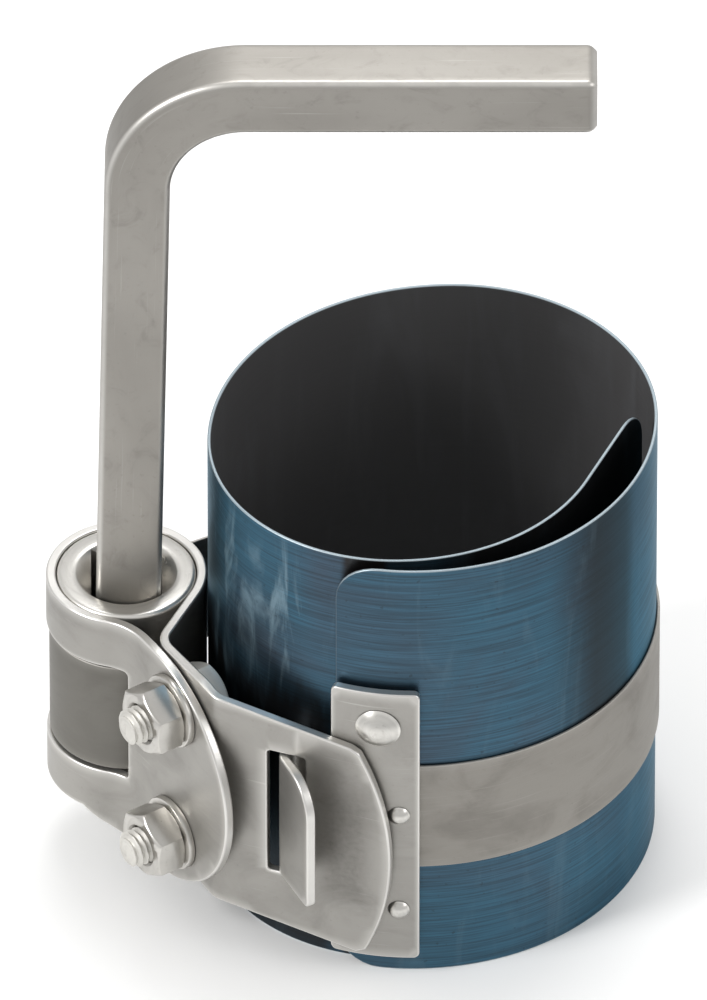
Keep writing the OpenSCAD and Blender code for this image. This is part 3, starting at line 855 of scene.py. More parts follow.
@dataclass
class BentSheet:
    """A flat outline folded along a path and thickened, with a rounded rim."""

    name: str
    path: SheetPath
    loops: list[np.ndarray]
    thickness: float
    outer_left: bool
    rim_r: float
    rows: float
    turn_step: float
    straight_step: float = 4.0
    rim_steps: int = 4
    border_gap: float = 0.6
    wear_width: float = 1.1
    wear_share: float = 0.55
    merge: float = 1e-7

    def fold(self, flat: np.ndarray, depth: np.ndarray) -> tuple[np.ndarray, np.ndarray, np.ndarray]:
        """Carries flat points onto the bent sheet.

        A flat point (s, z) at a depth d goes to the path's point at s, moved d along the path's left
        normal, at height z.

        Args:
            flat: Points (n, 2).
            depth: Offsets to the left (n,).

        Returns:
            Points, path directions and left normals, each (n, 3).
        """
        at, heading = self.path.at(flat[:, 0])
        zero = np.zeros(len(flat))
        along = np.stack([np.cos(heading), np.sin(heading), zero], 1)
        left = np.stack([-np.sin(heading), np.cos(heading), zero], 1)
        return np.column_stack([at, flat[:, 1]]) + depth[:, None] * left, along, left

    def skin(self, loops: list[np.ndarray]) -> tuple[np.ndarray, np.ndarray]:
        """Triangulates the flat outline with points on the columns and rows inside it.

        Args:
            loops: The outline's loops, drawn in by the rim's radius.

        Returns:
            Flat points, the loops' first, and triangles that run counter-clockwise.
        """
        border = np.concatenate(loops)
        low, high = border[:, 1].min(), border[:, 1].max()
        columns = self.path.stations(self.straight_step, self.turn_step)
        levels = np.linspace(low, high, 2 + int((high - low) / self.rows))[1:-1]
        grid = np.stack(np.meshgrid(columns, levels, indexing="ij"), -1).reshape(-1, 2)
        grid = grid[inside_loops(grid, loops)]
        points = np.concatenate([border, grid[nearest(grid, border) > self.border_gap]])
        starts = np.cumsum([0, *[len(loop) for loop in loops]])
        edges = np.concatenate([
            np.stack([np.arange(a, b), np.roll(np.arange(a, b), -1)], 1) for a, b in zip(starts[:-1], starts[1:])])
        found = delaunay_2d_cdt([Vector(p) for p in points.tolist()], edges.tolist(), [], 0, self.merge)
        order = np.array([origin[0] for origin in found[3]])
        triangles = order[np.array(found[2])]
        return points, triangles[inside_regions(points, triangles, edges, loops)]

    def build(self) -> Piece:
        """Skins on both sides, joined round every loop by a rim of two quarter rounds.

        On a rim at the angle phi a point lies r sin(phi) outside the drawn-in outline, and its normal leans out as
        far; the second quarter runs with the cosine. Its depth is that of the round's centre plus r times its
        normal's share across the sheet. Wear falls from the outline to 0 within the wear's width.

        Returns:
            The piece.
        """
        r, half = self.rim_r, self.thickness / 2.0
        outward = [loop_outward(loop) for loop in self.loops]
        drawn_in = [loop - r * out for loop, out in zip(self.loops, outward)]
        flat, triangles = self.skin(drawn_in)
        count = len(flat)
        wear = self.wear_share * np.clip(1.0 - nearest(flat, np.concatenate(drawn_in)) / self.wear_width, 0.0, 1.0)
        blocks = [self._block(flat, way * half, np.zeros((count, 2)), way, wear) for way in (-1.0, 1.0)]
        polygons = [triangles, triangles[:, ::-1] + count]
        phi = np.linspace(0.0, 0.5 * math.pi, self.rim_steps + 1)
        lean = np.concatenate([np.sin(phi), np.cos(phi)])[1:-1]
        face = np.concatenate([-np.cos(phi), np.sin(phi)])[1:-1]
        depth = np.repeat([r - half, half - r], len(phi))[1:-1] + r * face
        base, begin = 2 * count, 0
        for loop, out in zip(drawn_in, outward):
            n = len(loop)
            way = out / np.linalg.norm(out, axis=1, keepdims=True)
            blocks.append(self._block(
                (loop + r * lean[:, None, None] * out).reshape(-1, 2), np.repeat(depth, n),
                (lean[:, None, None] * way).reshape(-1, 2), np.repeat(face, n), 1.0))
            first = begin + np.arange(n)
            ring = base + np.arange(n * len(lean)).reshape(-1, n)
            polygons.append(ring_quads(np.vstack([first, ring, count + first]), inward=True))
            base, begin = base + ring.size, begin + n
        s, z, deep, lean_s, lean_z, across, edge = np.concatenate(blocks).T
        points, along, left = self.fold(np.stack([s, z], 1), deep)
        normals = lean_s[:, None] * along + across[:, None] * left + lean_z[:, None] * np.array([[0.0, 0.0, 1.0]])
        outer = 1.0 if self.outer_left else -1.0
        side = 0.5 + 0.5 * np.clip(outer * deep / half, -1.0, 1.0)
        return Piece(self.name, points, polygons, np.stack([s, z, deep], 1), edge, side, normals)

    @staticmethod
    def _block(flat: np.ndarray, depth: np.ndarray | float, lean: np.ndarray, across: np.ndarray | float,
               edge: np.ndarray | float) -> np.ndarray:
        """Columns of some points: flat place, depth, the normal's lean along the sheet and across it, and wear."""
        deep, facing, worn = (np.broadcast_to(value, len(flat)) for value in (depth, across, edge))
        return np.column_stack([flat, deep, lean, facing, worn])


@dataclass(frozen=True)
class Axis:
    """Place of a turned piece: a point, the direction of its axis and of its first radius."""

    origin: Place
    along: Place
    first: Place

    @classmethod
    def level(cls, place: np.ndarray, z: float, angle: float) -> Axis:
        """Level axis through a plan place at a height, along a plan angle."""
        out = unit(angle)
        return cls((place[0], place[1], z), (out[0], out[1], 0.0), (0.0, 0.0, -1.0))

    @classmethod
    def upright(cls, place: np.ndarray) -> Axis:
        """Upright axis through a plan place."""
        return cls((place[0], place[1], 0.0), (0.0, 0.0, 1.0), (1.0, 0.0, 0.0))

    def put(self, local: np.ndarray) -> np.ndarray:
        """Carries local points (first radius, second radius, along) to the object's frame."""
        z, x = np.array(self.along), np.array(self.first)
        return np.array(self.origin) + local @ np.stack([x, np.cross(z, x), z])


def turned_piece(name: str, axis: Axis, rows: Sequence[Row], columns: int) -> Piece:
    """Grid round an axis.

    Each row lies at a radius and a height along the axis, both either the same all round or given for every
    column's angle. Rows run from the foot over the outside to the top, where flat faces close them; a last row
    that is the first one again closes the surface round a bore.

    Args:
        name: The piece's name.
        axis: Where it sits.
        rows: Radius, height and wear of each row.
        columns: Columns round the axis.

    Returns:
        The piece.
    """
    radius, height = (np.array([np.broadcast_to(row[i], columns) for row in rows]) for i in (0, 1))
    wear = np.array([row[2] for row in rows])
    closed = np.allclose(radius[0], radius[-1]) and np.allclose(height[0], height[-1])
    if closed:
        radius, height, wear = radius[:-1], height[:-1], wear[:-1]
    angle = round_angles(columns)
    index = np.arange(radius.size).reshape(radius.shape)
    faces = [ring_quads(np.vstack([index, index[:1]]))] if closed else [
        ring_quads(index), index[:1, ::-1], index[-1:]]
    local = np.stack([radius * np.cos(angle), radius * np.sin(angle), height], -1).reshape(-1, 3)
    walked = np.cumsum(np.concatenate([[0.0], np.hypot(np.diff(radius.mean(1)), np.diff(height.mean(1)))]))
    flat = np.stack([angle * np.maximum(radius, 1.0), np.repeat(walked[:, None], columns, 1),
                     np.zeros_like(radius)], -1).reshape(-1, 3)
    return Piece(name, axis.put(local), faces, flat, np.repeat(wear, columns), np.ones(len(local)))


# Shared places


@dataclass(frozen=True)
class Layout:
    """Sizes that several sub-assemblies share."""

    sleeve_d: float = 68.6
    sleeve_t: float = 0.5
    sleeve_oval: float = 5.2
    band_t: float = 0.5
    band_gap: float = 0.06
    band_z: float = 21.2
    band_w: float = 20.2
    curl_z: float = 12.8
    curl_h: float = 38.2
    curl_r: float = 10.9
    curl_gap: float = 0.15
    strap_t: float = 1.5
    foot_t: float = 1.5
    slot_z: float = 18.5
    slot_h: float = 24.0
    slot_w: float = 6.2
    ear_dir: float = -56.0
    ear_offset: float = 5.4
    ear_gap: float = 0.3
    run_gap: float = 0.08
    feed_r: float = 11.7
    key_w: float = 10.0
    hook_angle: float = 239.5
    hook_bend_r: float = 2.0
    hook_gap: float = 0.3
    thin_rim_r: float = 0.2
    plate_rim_r: float = 0.32

    @property
    def oval_shift(self) -> float:
        """Distance of the end arcs' centres from the axis."""
        return self.sleeve_oval / 2.0 / (2.0 - math.sqrt(2.0))

    @property
    def end_r(self) -> float:
        """Radius of the oval's end arcs."""
        return self.sleeve_d / 2.0 + self.sleeve_oval / 4.0 - self.oval_shift

    @property
    def side_r(self) -> float:
        """Radius of the oval's side arcs."""
        return self.end_r + self.oval_shift * math.sqrt(2.0)

    @property
    def roll_centre(self) -> np.ndarray:
        """Centre of the front end arc."""
        return -self.oval_shift * unit(45.0)

    @property
    def band_top(self) -> float:
        """Height of the band's upper edge."""
        return self.band_z + self.band_w

    @property
    def curl_top(self) -> float:
        """Height of the housing's upper edge."""
        return self.curl_z + self.curl_h

    @property
    def slot_top(self) -> float:
        """Height of the upper end of the hook's slot."""
        return self.slot_z + self.slot_h

    @property
    def curl_mid_r(self) -> float:
        """Radius of the middle of the curl's sheet."""
        return self.curl_r + self.strap_t / 2.0

    @property
    def flange_r(self) -> float:
        """Radius of the spindle's flanges."""
        return self.curl_r - self.run_gap

    @property
    def spindle_at(self) -> np.ndarray:
        """Plan place of the spindle's axis, so far left that the curl just clears the sleeve."""
        curl_out_r = self.curl_r + self.strap_t
        return np.array([self.roll_centre[0] - self.end_r - self.sleeve_t / 2.0 - self.curl_gap - curl_out_r, 0.0])

    @property
    def foot_mid_r(self) -> float:
        """Radius of the foot plate's middle about the front arc's centre."""
        return self.end_r + self.sleeve_t / 2.0 + 2.0 * self.band_gap + self.band_t + self.foot_t / 2.0

    @property
    def foot_out_r(self) -> float:
        """Outer radius of the foot plate."""
        return self.foot_mid_r + self.foot_t / 2.0

    @property
    def front_ear(self) -> float:
        """Distance of the front ear's middle from the spindle's axis."""
        return self.ear_offset + (self.strap_t + self.ear_gap) / 2.0

    @property
    def rear_ear(self) -> float:
        """Distance of the rear ear's middle from the spindle's axis."""
        return self.ear_offset - (self.strap_t + self.ear_gap) / 2.0


# Sub-assemblies


@dataclass
class Sleeve:
    """Rolled sheet with a stepped inner layer and a free tail."""

    layout: Layout
    finish: bpy.types.Material
    height: float = 80.0
    layer_step: float = 2.6
    outer_end_angle: float = 248.0
    tail: Stretch = Stretch(32.0, 66.0)
    tail_end: Stretch = Stretch(21.0)
    corner_r: float = 7.0

    def path(self) -> SheetPath:
        """Outer end, three quarters of the oval, inner layer and tail.

        Returns:
            The sheet's middle line.
        """
        k = self.layout
        at = k.roll_centre + k.end_r * unit(self.outer_end_angle)
        return SheetPath((at[0], at[1], self.outer_end_angle + 90.0), (
            Stretch(k.end_r, 270.0 - self.outer_end_angle), Stretch(k.side_r, 90.0), Stretch(k.end_r, 90.0),
            Stretch(k.side_r, 90.0), Stretch(k.end_r - self.layer_step, 90.0), self.tail, self.tail_end))

    def build(self) -> None:
        """One rectangle with round corners, folded along the spiral."""
        k, path = self.layout, self.path()
        outline = rounded_box(0.0, path.breaks()[-1], 0.0, self.height, self.corner_r)
        sheet = BentSheet("sleeve_sheet", path, [outline], k.sleeve_t, outer_left=False, rim_r=k.thin_rim_r,
                          rows=5.0, turn_step=2.5)
        sheet.build().place(Body.WRAP, "blued_steel", self.finish, "sleeve")


@dataclass
class TensionBand:
    """Strip round the sleeve that runs off on a tangent to the spindle."""

    layout: Layout
    finish: bpy.types.Material
    start_angle: float = 252.0
    feed_end: float = 285.0
    corner_r: float = 0.8

    def path(self) -> SheetPath:
        """Round the sleeve to the point where the common tangent with the spindle leaves it, then along it.

        The back side arc's centre lies one side radius in front of the oval's back point. As both arcs turn the
        same way, the tangent leaves at the angle of the spindle less acos((difference of radii) / distance).

        Returns:
            The strip's middle line.
        """
        k = self.layout
        lift = k.sleeve_t / 2.0 + k.band_gap + k.band_t / 2.0
        end_r, side_r = k.end_r + lift, k.side_r + lift
        at = k.roll_centre + end_r * unit(self.start_angle)
        back = k.oval_shift * unit(45.0)
        to_spindle = k.spindle_at - np.array([back[0], back[1] + k.end_r - k.side_r])
        reach = float(np.hypot(*to_spindle))
        fall = side_r - k.feed_r
        leave = (math.degrees(math.atan2(to_spindle[1], to_spindle[0])) + 360.0
                 - math.degrees(math.acos(fall / reach))) % 360.0
        return SheetPath((at[0], at[1], self.start_angle + 90.0), (
            Stretch(end_r, 270.0 - self.start_angle), Stretch(side_r, 90.0), Stretch(end_r, 90.0),
            Stretch(side_r, leave - 90.0), Stretch(math.sqrt(reach ** 2 - fall ** 2)),
            Stretch(k.feed_r, self.feed_end - leave)))

    def build(self) -> None:
        """A long narrow strip, folded along the run."""
        k, path = self.layout, self.path()
        outline = rounded_box(0.0, path.breaks()[-1], k.band_z, k.band_top, self.corner_r)
        sheet = BentSheet("band_strip", path, [outline], k.band_t, outer_left=False, rim_r=k.thin_rim_r,
                          rows=4.0, turn_step=2.5)
        sheet.build().place(Body.WRAP, "band_steel", self.finish, "tension_band")


@dataclass
class StrapHousing:
    """One folded strap: front ear, curl round the spindle, rear ear and long slotted plate."""

    layout: Layout
    finish: bpy.types.Material
    front_bend_r: float = 10.0
    neck_angle: float = -25.0
    neck_r: float = 4.0
    ear_r: float = 21.5
    ear_centre: float = 16.5
    plate_dir: float = -20.0
    plate_len: float = 28.5
    plate_bend_r: float = 3.0
    plate_top: float = 45.5
    plate_low: float = 5.0
    plate_end_r: float = 44.0
    plate_gap: float = 0.1
    plate_fall_from: float = -3.0
    rear_reach: float = 16.0
    tip_gap: float = 0.7
    tip_margin: float = 0.8
    window_back: float = 79.7
    window_front_x: float = 0.6
    window_margin: float = 0.5
    window_corner_r: float = 0.8
    slot_set_back: float = 1.4
    slot_corner_r: float = 0.6
    curl_from: float = field(init=False)
    plate_way: np.ndarray = field(init=False)
    corner_at: np.ndarray = field(init=False)
    bend_run: float = field(init=False)
    sheet_path: SheetPath = field(init=False)

    def __post_init__(self) -> None:
        """Works out where the folds lie.

        The front bend touches both the ear and the curl, the neck leaves the curl on a tangent and bends into the
        rear ear, and the plate's corner is where the rear ear meets the plate's line along the foot plate.
        """
        k, mid = self.layout, self.layout.curl_mid_r
        ear_way, ear_out = unit(k.ear_dir), unit(k.ear_dir - 90.0)
        ear_from = math.sqrt((mid + self.front_bend_r) ** 2 - (k.front_ear + self.front_bend_r) ** 2)
        front_turn = math.degrees(math.atan2(ear_from, k.front_ear + self.front_bend_r))
        ear_to = self.ear_centre + self.ear_r
        end = k.spindle_at + k.front_ear * ear_out + ear_to * ear_way
        self.curl_from = 270.0 + k.ear_dir + front_turn
        lean = math.radians(self.neck_angle - k.ear_dir)
        neck_run = (k.rear_ear - self.neck_r - (mid + self.neck_r) * math.cos(lean + math.pi / 2)) / math.cos(lean)
        rear_from = (mid + self.neck_r) * math.cos(lean) + neck_run * math.cos(lean - math.pi / 2)
        self.plate_way, plate_out = unit(self.plate_dir), unit(self.plate_dir - 90.0)
        plate_mid = k.foot_out_r + self.plate_gap + k.strap_t / 2.0 + k.roll_centre @ plate_out
        rear_line = k.spindle_at + k.rear_ear * ear_out
        ear_corner = (plate_mid - rear_line @ plate_out) / (ear_way @ plate_out)
        self.corner_at = rear_line + ear_corner * ear_way
        turn = self.plate_dir - k.ear_dir
        self.bend_run = self.plate_bend_r * math.tan(math.radians(turn / 2.0))
        self.sheet_path = SheetPath((end[0], end[1], k.ear_dir + 180.0), (
            Stretch(ear_to - ear_from), Stretch(self.front_bend_r, front_turn),
            Stretch(mid, -(self.curl_from - self.neck_angle)), Stretch(neck_run),
            Stretch(self.neck_r, k.ear_dir - self.neck_angle + 90.0),
            Stretch(ear_corner - self.bend_run - rear_from), Stretch(self.plate_bend_r, turn),
            Stretch(self.plate_len - self.bend_run)))

    def tip_x(self, z: np.ndarray) -> np.ndarray:
        """Where the plate's round end lies at some heights: its arc's centre plus the half chord there."""
        off = z - (self.plate_top + self.plate_low) / 2.0
        return self.plate_len - self.plate_end_r + np.sqrt(np.maximum(0.0, self.plate_end_r ** 2 - off ** 2))

    def outline(self) -> np.ndarray:
        """Outer loop: round ear end, curl's lower edge, falling plate, round plate end and back along the top.

        Both long edges are level as far as the rear ear and then fall or rise evenly to the plate's end.

        Returns:
            Points (n, 2).
        """
        k, marks = self.layout, self.sheet_path.breaks()
        centre = np.array([self.ear_r, k.curl_top - self.ear_r])
        stop = 270.0 + math.degrees(math.acos((centre[1] - k.curl_z) / self.ear_r))
        low_round = circle(centre, self.ear_r, np.radians(np.arange(180.0, stop, 2.0)))
        high_round = circle(centre, self.ear_r, np.radians(np.arange(90.0, 179.0, 2.0)))
        run = np.linspace(marks[Fold.REAR_EAR], marks[Fold.END], 90)
        x = (self.sheet_path.at(run)[0] - self.corner_at) @ self.plate_way
        low = k.curl_z + np.maximum(0.0, x + self.rear_reach) / (self.plate_len + self.rear_reach) * (
            self.plate_low - k.curl_z)
        fall = (k.curl_top - self.plate_top) / (self.plate_len - self.plate_fall_from)
        high = np.minimum(k.curl_top, self.plate_top + fall * (self.plate_len - x))
        low_edge = np.stack([run, low], 1)[x < self.tip_x(low) - self.tip_gap]
        high_edge = np.stack([run, high], 1)[x < self.tip_x(high) - self.tip_gap][::-1]
        rise = np.linspace(low_edge[-1, 1] + self.tip_margin, high_edge[0, 1] - self.tip_margin, 40)
        tip = np.stack([marks[Fold.PLATE] + self.tip_x(rise) - self.bend_run, rise], 1)
        return resample(np.concatenate([low_round, low_edge, tip, high_edge, high_round]))

    def window(self) -> np.ndarray:
        """Opening in the curl for the band, from the front bend to an angle at the back.

        Returns:
            Points (n, 2), clockwise.
        """
        k, marks = self.layout, self.sheet_path.breaks()
        far = marks[Fold.CURL] + k.curl_mid_r * math.radians(self.curl_from - self.window_back)
        bend = np.linspace(marks[Fold.FRONT_BEND], marks[Fold.CURL], 200)
        x = self.sheet_path.at(bend)[0][:, 0]
        near = bend[int(np.argmin(np.abs(x - k.spindle_at[0] - self.window_front_x)))]
        return rounded_box(near, far, k.band_z - self.window_margin, k.band_top + self.window_margin,
                           self.window_corner_r)[::-1]

    def slot(self) -> np.ndarray:
        """Opening in the long plate for the hook, whose right side clears the hook's bend.

        Returns:
            Points (n, 2), clockwise.
        """
        k = self.layout
        root = k.roll_centre + (k.foot_mid_r + k.hook_bend_r) * unit(k.hook_angle)
        right = float((root - self.corner_at) @ self.plate_way) + k.hook_bend_r + k.foot_t / 2.0
        right += k.hook_gap - self.slot_set_back
        shift = self.sheet_path.breaks()[Fold.PLATE] - self.bend_run
        left = right - k.slot_w
        return rounded_box(shift + left, shift + right, k.slot_z, k.slot_top, self.slot_corner_r)[::-1]

    def build(self) -> None:
        """The strap with its window and slot, folded along the housing's path."""
        k, loops = self.layout, [self.outline(), self.window(), self.slot()]
        sheet = BentSheet("strap_sheet", self.sheet_path, loops, k.strap_t, outer_left=True, rim_r=k.plate_rim_r,
                          rows=4.0, turn_step=5.0, straight_step=3.5)
        sheet.build().place(Body.WRAP, "nickel_sheet", self.finish, "housing_strap")


@dataclass
class FootPlate:
    """Curved plate on the sleeve's outer end, its tongue folded back as a hook."""

    layout: Layout
    finish: bpy.types.Material
    z: float = 4.0
    height: float = 53.0
    right_angle: float = 272.0
    sweep: float = 24.0
    hook_turn: float = 147.0
    hook_len: float = 9.0
    hook_corner_r: float = 6.0
    loop_step: float = 0.8

    def build(self) -> None:
        """A T-shaped outline: the plate, and the tongue whose fold makes the hook."""
        k = self.layout
        at = k.roll_centre + k.foot_mid_r * unit(self.right_angle)
        path = SheetPath((at[0], at[1], self.right_angle - 90.0), (
            Stretch(k.foot_mid_r, -self.sweep),
            Stretch(k.foot_mid_r, -(self.right_angle - self.sweep - k.hook_angle)),
            Stretch(k.hook_bend_r, self.hook_turn), Stretch(self.hook_len)))
        marks = path.breaks()
        step, tip = marks[1], marks[-1]
        low, high, top = k.slot_z + k.hook_gap, k.slot_top - k.hook_gap, self.z + self.height
        loop = rounded_loop(
            [(0, self.z), (step, self.z), (step, low), (tip, low), (tip, high), (step, high), (step, top), (0, top)],
            [1.0, 1.0, 0.7, 1.2, self.hook_corner_r, 0.7, 1.0, 1.0], self.loop_step)
        sheet = BentSheet("foot_sheet", path, [loop], k.foot_t, outer_left=True, rim_r=k.plate_rim_r,
                          rows=3.5, turn_step=3.0, straight_step=2.5)
        sheet.build().place(Body.WRAP, "nickel_sheet", self.finish, "foot_plate")


@dataclass
class Rivet:
    """Rivet with a domed head through foot plate, band and sleeve, at an angle round the front arc's centre."""

    layout: Layout
    finish: bpy.types.Material
    node: str
    angle: float
    z: float
    shank_d: float = 2.0
    head_d: float = 3.4
    head_h: float = 1.0
    tail_h: float = 0.5
    tail_lip: float = 0.5
    inner_gap: float = 0.1
    seat_gap: float = 0.05
    columns: int = 64

    def build(self) -> None:
        """Flat tail inside, shank, and a dome whose height is that of a sphere cap of the head's width."""
        k = self.layout
        shank, head = self.shank_d / 2.0, self.head_d / 2.0
        inner = k.end_r - k.sleeve_t / 2.0 - self.inner_gap
        seat = k.foot_out_r + self.seat_gap
        lip, foot = shank + self.tail_lip, inner - self.tail_h
        dome_r = (head ** 2 + self.head_h ** 2) / 2.0 / self.head_h
        share = np.linspace(1.0, 0.02, 14)[1:]
        dome = seat + self.head_h - dome_r + np.sqrt(dome_r ** 2 - (head * share) ** 2)
        rows = [(AXIS_R, foot, 0.0), (lip - 0.1, foot, 0.4), (lip, foot + 0.1, 0.8), (lip, inner, 0.4),
                (shank, inner, 0.0), (shank, seat, 0.0), (head - 0.06, seat, 0.4), (head, seat + 0.03, 0.8),
                *zip(head * share, dome, 0.8 * (share > 0.9))]
        axis = Axis.level(k.roll_centre, self.z, self.angle)
        piece = turned_piece(f"foot_{self.node}", axis, rows, self.columns)
        piece.place(Body.WRAP, "bright_steel", self.finish, self.node)


@dataclass
class ClampScrew:
    """Bolt with washer and nut that draws the two ears together."""

    layout: Layout
    finish: bpy.types.Material
    bolt_finish: bpy.types.Material
    place: str
    z: float
    flats: float = 10.0
    thread_d: float = 6.0
    pitch: float = 1.0
    thread_depth: float = 0.55
    head_h: float = 4.0
    nut_h: float = 5.0
    washer_d: float = 12.0
    washer_t: float = 1.2
    proud: float = 2.6
    at: float = 23.6
    chamfer_share: float = 0.965
    chamfer_slope: float = 0.62
    countersink: float = 0.45
    columns: int = 120
    washer_columns: int = 80

    @property
    def washer_z(self) -> float:
        """Where the washer lies on the front ear, along the screw."""
        return self.layout.front_ear + self.layout.strap_t / 2.0

    @property
    def nut_z(self) -> float:
        """Where the nut lies on the washer, along the screw."""
        return self.washer_z + self.washer_t

    def hex_rows(self, low: float, high: float, chamfer_top: bool) -> list[Row]:
        """Side rows of a six-sided block, turned off at the corners of its foot and, if wanted, of its top.

        The radius is half the flats over the cosine to the nearest flat. A cone takes off the corners, so a
        chamfer's height grows with the distance beyond the circle that it starts from.

        Args:
            low: Foot height.
            high: Top height.
            chamfer_top: True if the top is turned off too.

        Returns:
            Radius, height and wear of the rows.
        """
        around = 0.5 * self.flats / np.cos((round_angles(self.columns) % (math.pi / 3.0)) - math.pi / 6.0)
        inner = 0.5 * self.flats * self.chamfer_share
        cut = np.maximum(0.0, around - inner) * self.chamfer_slope
        top_cut, last = (cut, inner) if chamfer_top else (0.0, around - 0.12)
        return [(inner, low, 0.6), (around - 0.05, low + cut, 1.0), (around, low + cut + 0.08, 0.7),
                (around, high - top_cut - 0.08, 0.7), (around - 0.05, high - top_cut, 1.0), (last, high, 0.6)]

    def bolt_rows(self) -> list[Row]:
        """Head, shank and a threaded end.

        The thread's radius falls from the crest by its depth times a triangle wave of height / pitch - angle / turn,
        and narrows towards the tip.

        Returns:
            Radius, height and wear of the rows.
        """
        crest = self.thread_d / 2.0
        seat = self.layout.rear_ear - self.layout.strap_t / 2.0
        foot = seat - self.head_h
        nut_top = self.nut_z + self.nut_h
        start, end = nut_top - self.pitch, nut_top + self.proud
        turn = np.linspace(0.0, 1.0, self.columns, endpoint=False)
        climb = np.arange(start, end - 0.05, self.pitch / 10.0)
        wave = np.abs(((climb[:, None] / self.pitch - turn[None]) % 1.0) * 2.0 - 1.0)
        fade = np.clip((end - climb) / 0.8, 0.0, 1.0)[:, None]
        threads = (crest - self.thread_depth * wave) * (1.0 - 0.20 * (1.0 - fade))
        return [(AXIS_R, foot, 0.0), *self.hex_rows(foot, seat, False), (crest, seat, 0.0), (crest, start - 0.1, 0.0),
                *zip(threads, climb, 0.9 * (1.0 - wave.mean(1))), (threads[-1] - 0.15, end, 0.5), (AXIS_R, end, 0.2)]

    def washer_rows(self) -> list[Row]:
        """Punched ring with rounded edges.

        Returns:
            Radius, height and wear of the rows.
        """
        low, high, r, bore = self.washer_z, self.nut_z, self.washer_d / 2.0, self.thread_d / 2.0 + 0.15
        return [(bore, low, 0.0), (r - 0.3, low, 0.3), (r - 0.08, low + 0.09, 0.8), (r, low + 0.3, 1.0),
                (r, high - 0.4, 1.0), (r - 0.1, high - 0.12, 1.0), (r - 0.4, high, 0.6), (bore + 0.2, high, 0.2),
                (bore, high - 0.2, 0.3), (bore, low, 0.0)]

    def nut_rows(self) -> list[Row]:
        """Six-sided block, turned off at both ends, with a countersunk hole.

        Returns:
            Radius, height and wear of the rows.
        """
        low, high, bore = self.nut_z, self.nut_z + self.nut_h, self.thread_d / 2.0 + 0.05
        return [(bore, low, 0.0), *self.hex_rows(low, high, True), (bore + self.countersink, high, 0.5),
                (bore, high - self.countersink, 0.2), (bore, low, 0.0)]

    def build(self) -> None:
        """Bolt, washer and nut on one axis, square to the ears."""
        k = self.layout
        axis = Axis.level(k.spindle_at + self.at * unit(k.ear_dir), self.z, k.ear_dir - 90.0)
        for part, rows, columns, finish in (
                ("bolt", self.bolt_rows(), self.columns, self.bolt_finish),
                ("washer", self.washer_rows(), self.washer_columns, self.finish),
                ("nut", self.nut_rows(), self.columns, self.finish)):
            piece = turned_piece(f"{self.place}_clamp_{part}", axis, rows, columns)
            piece.place(Body.WRAP, "zinc_fastener", finish, f"{self.place}_{part}")


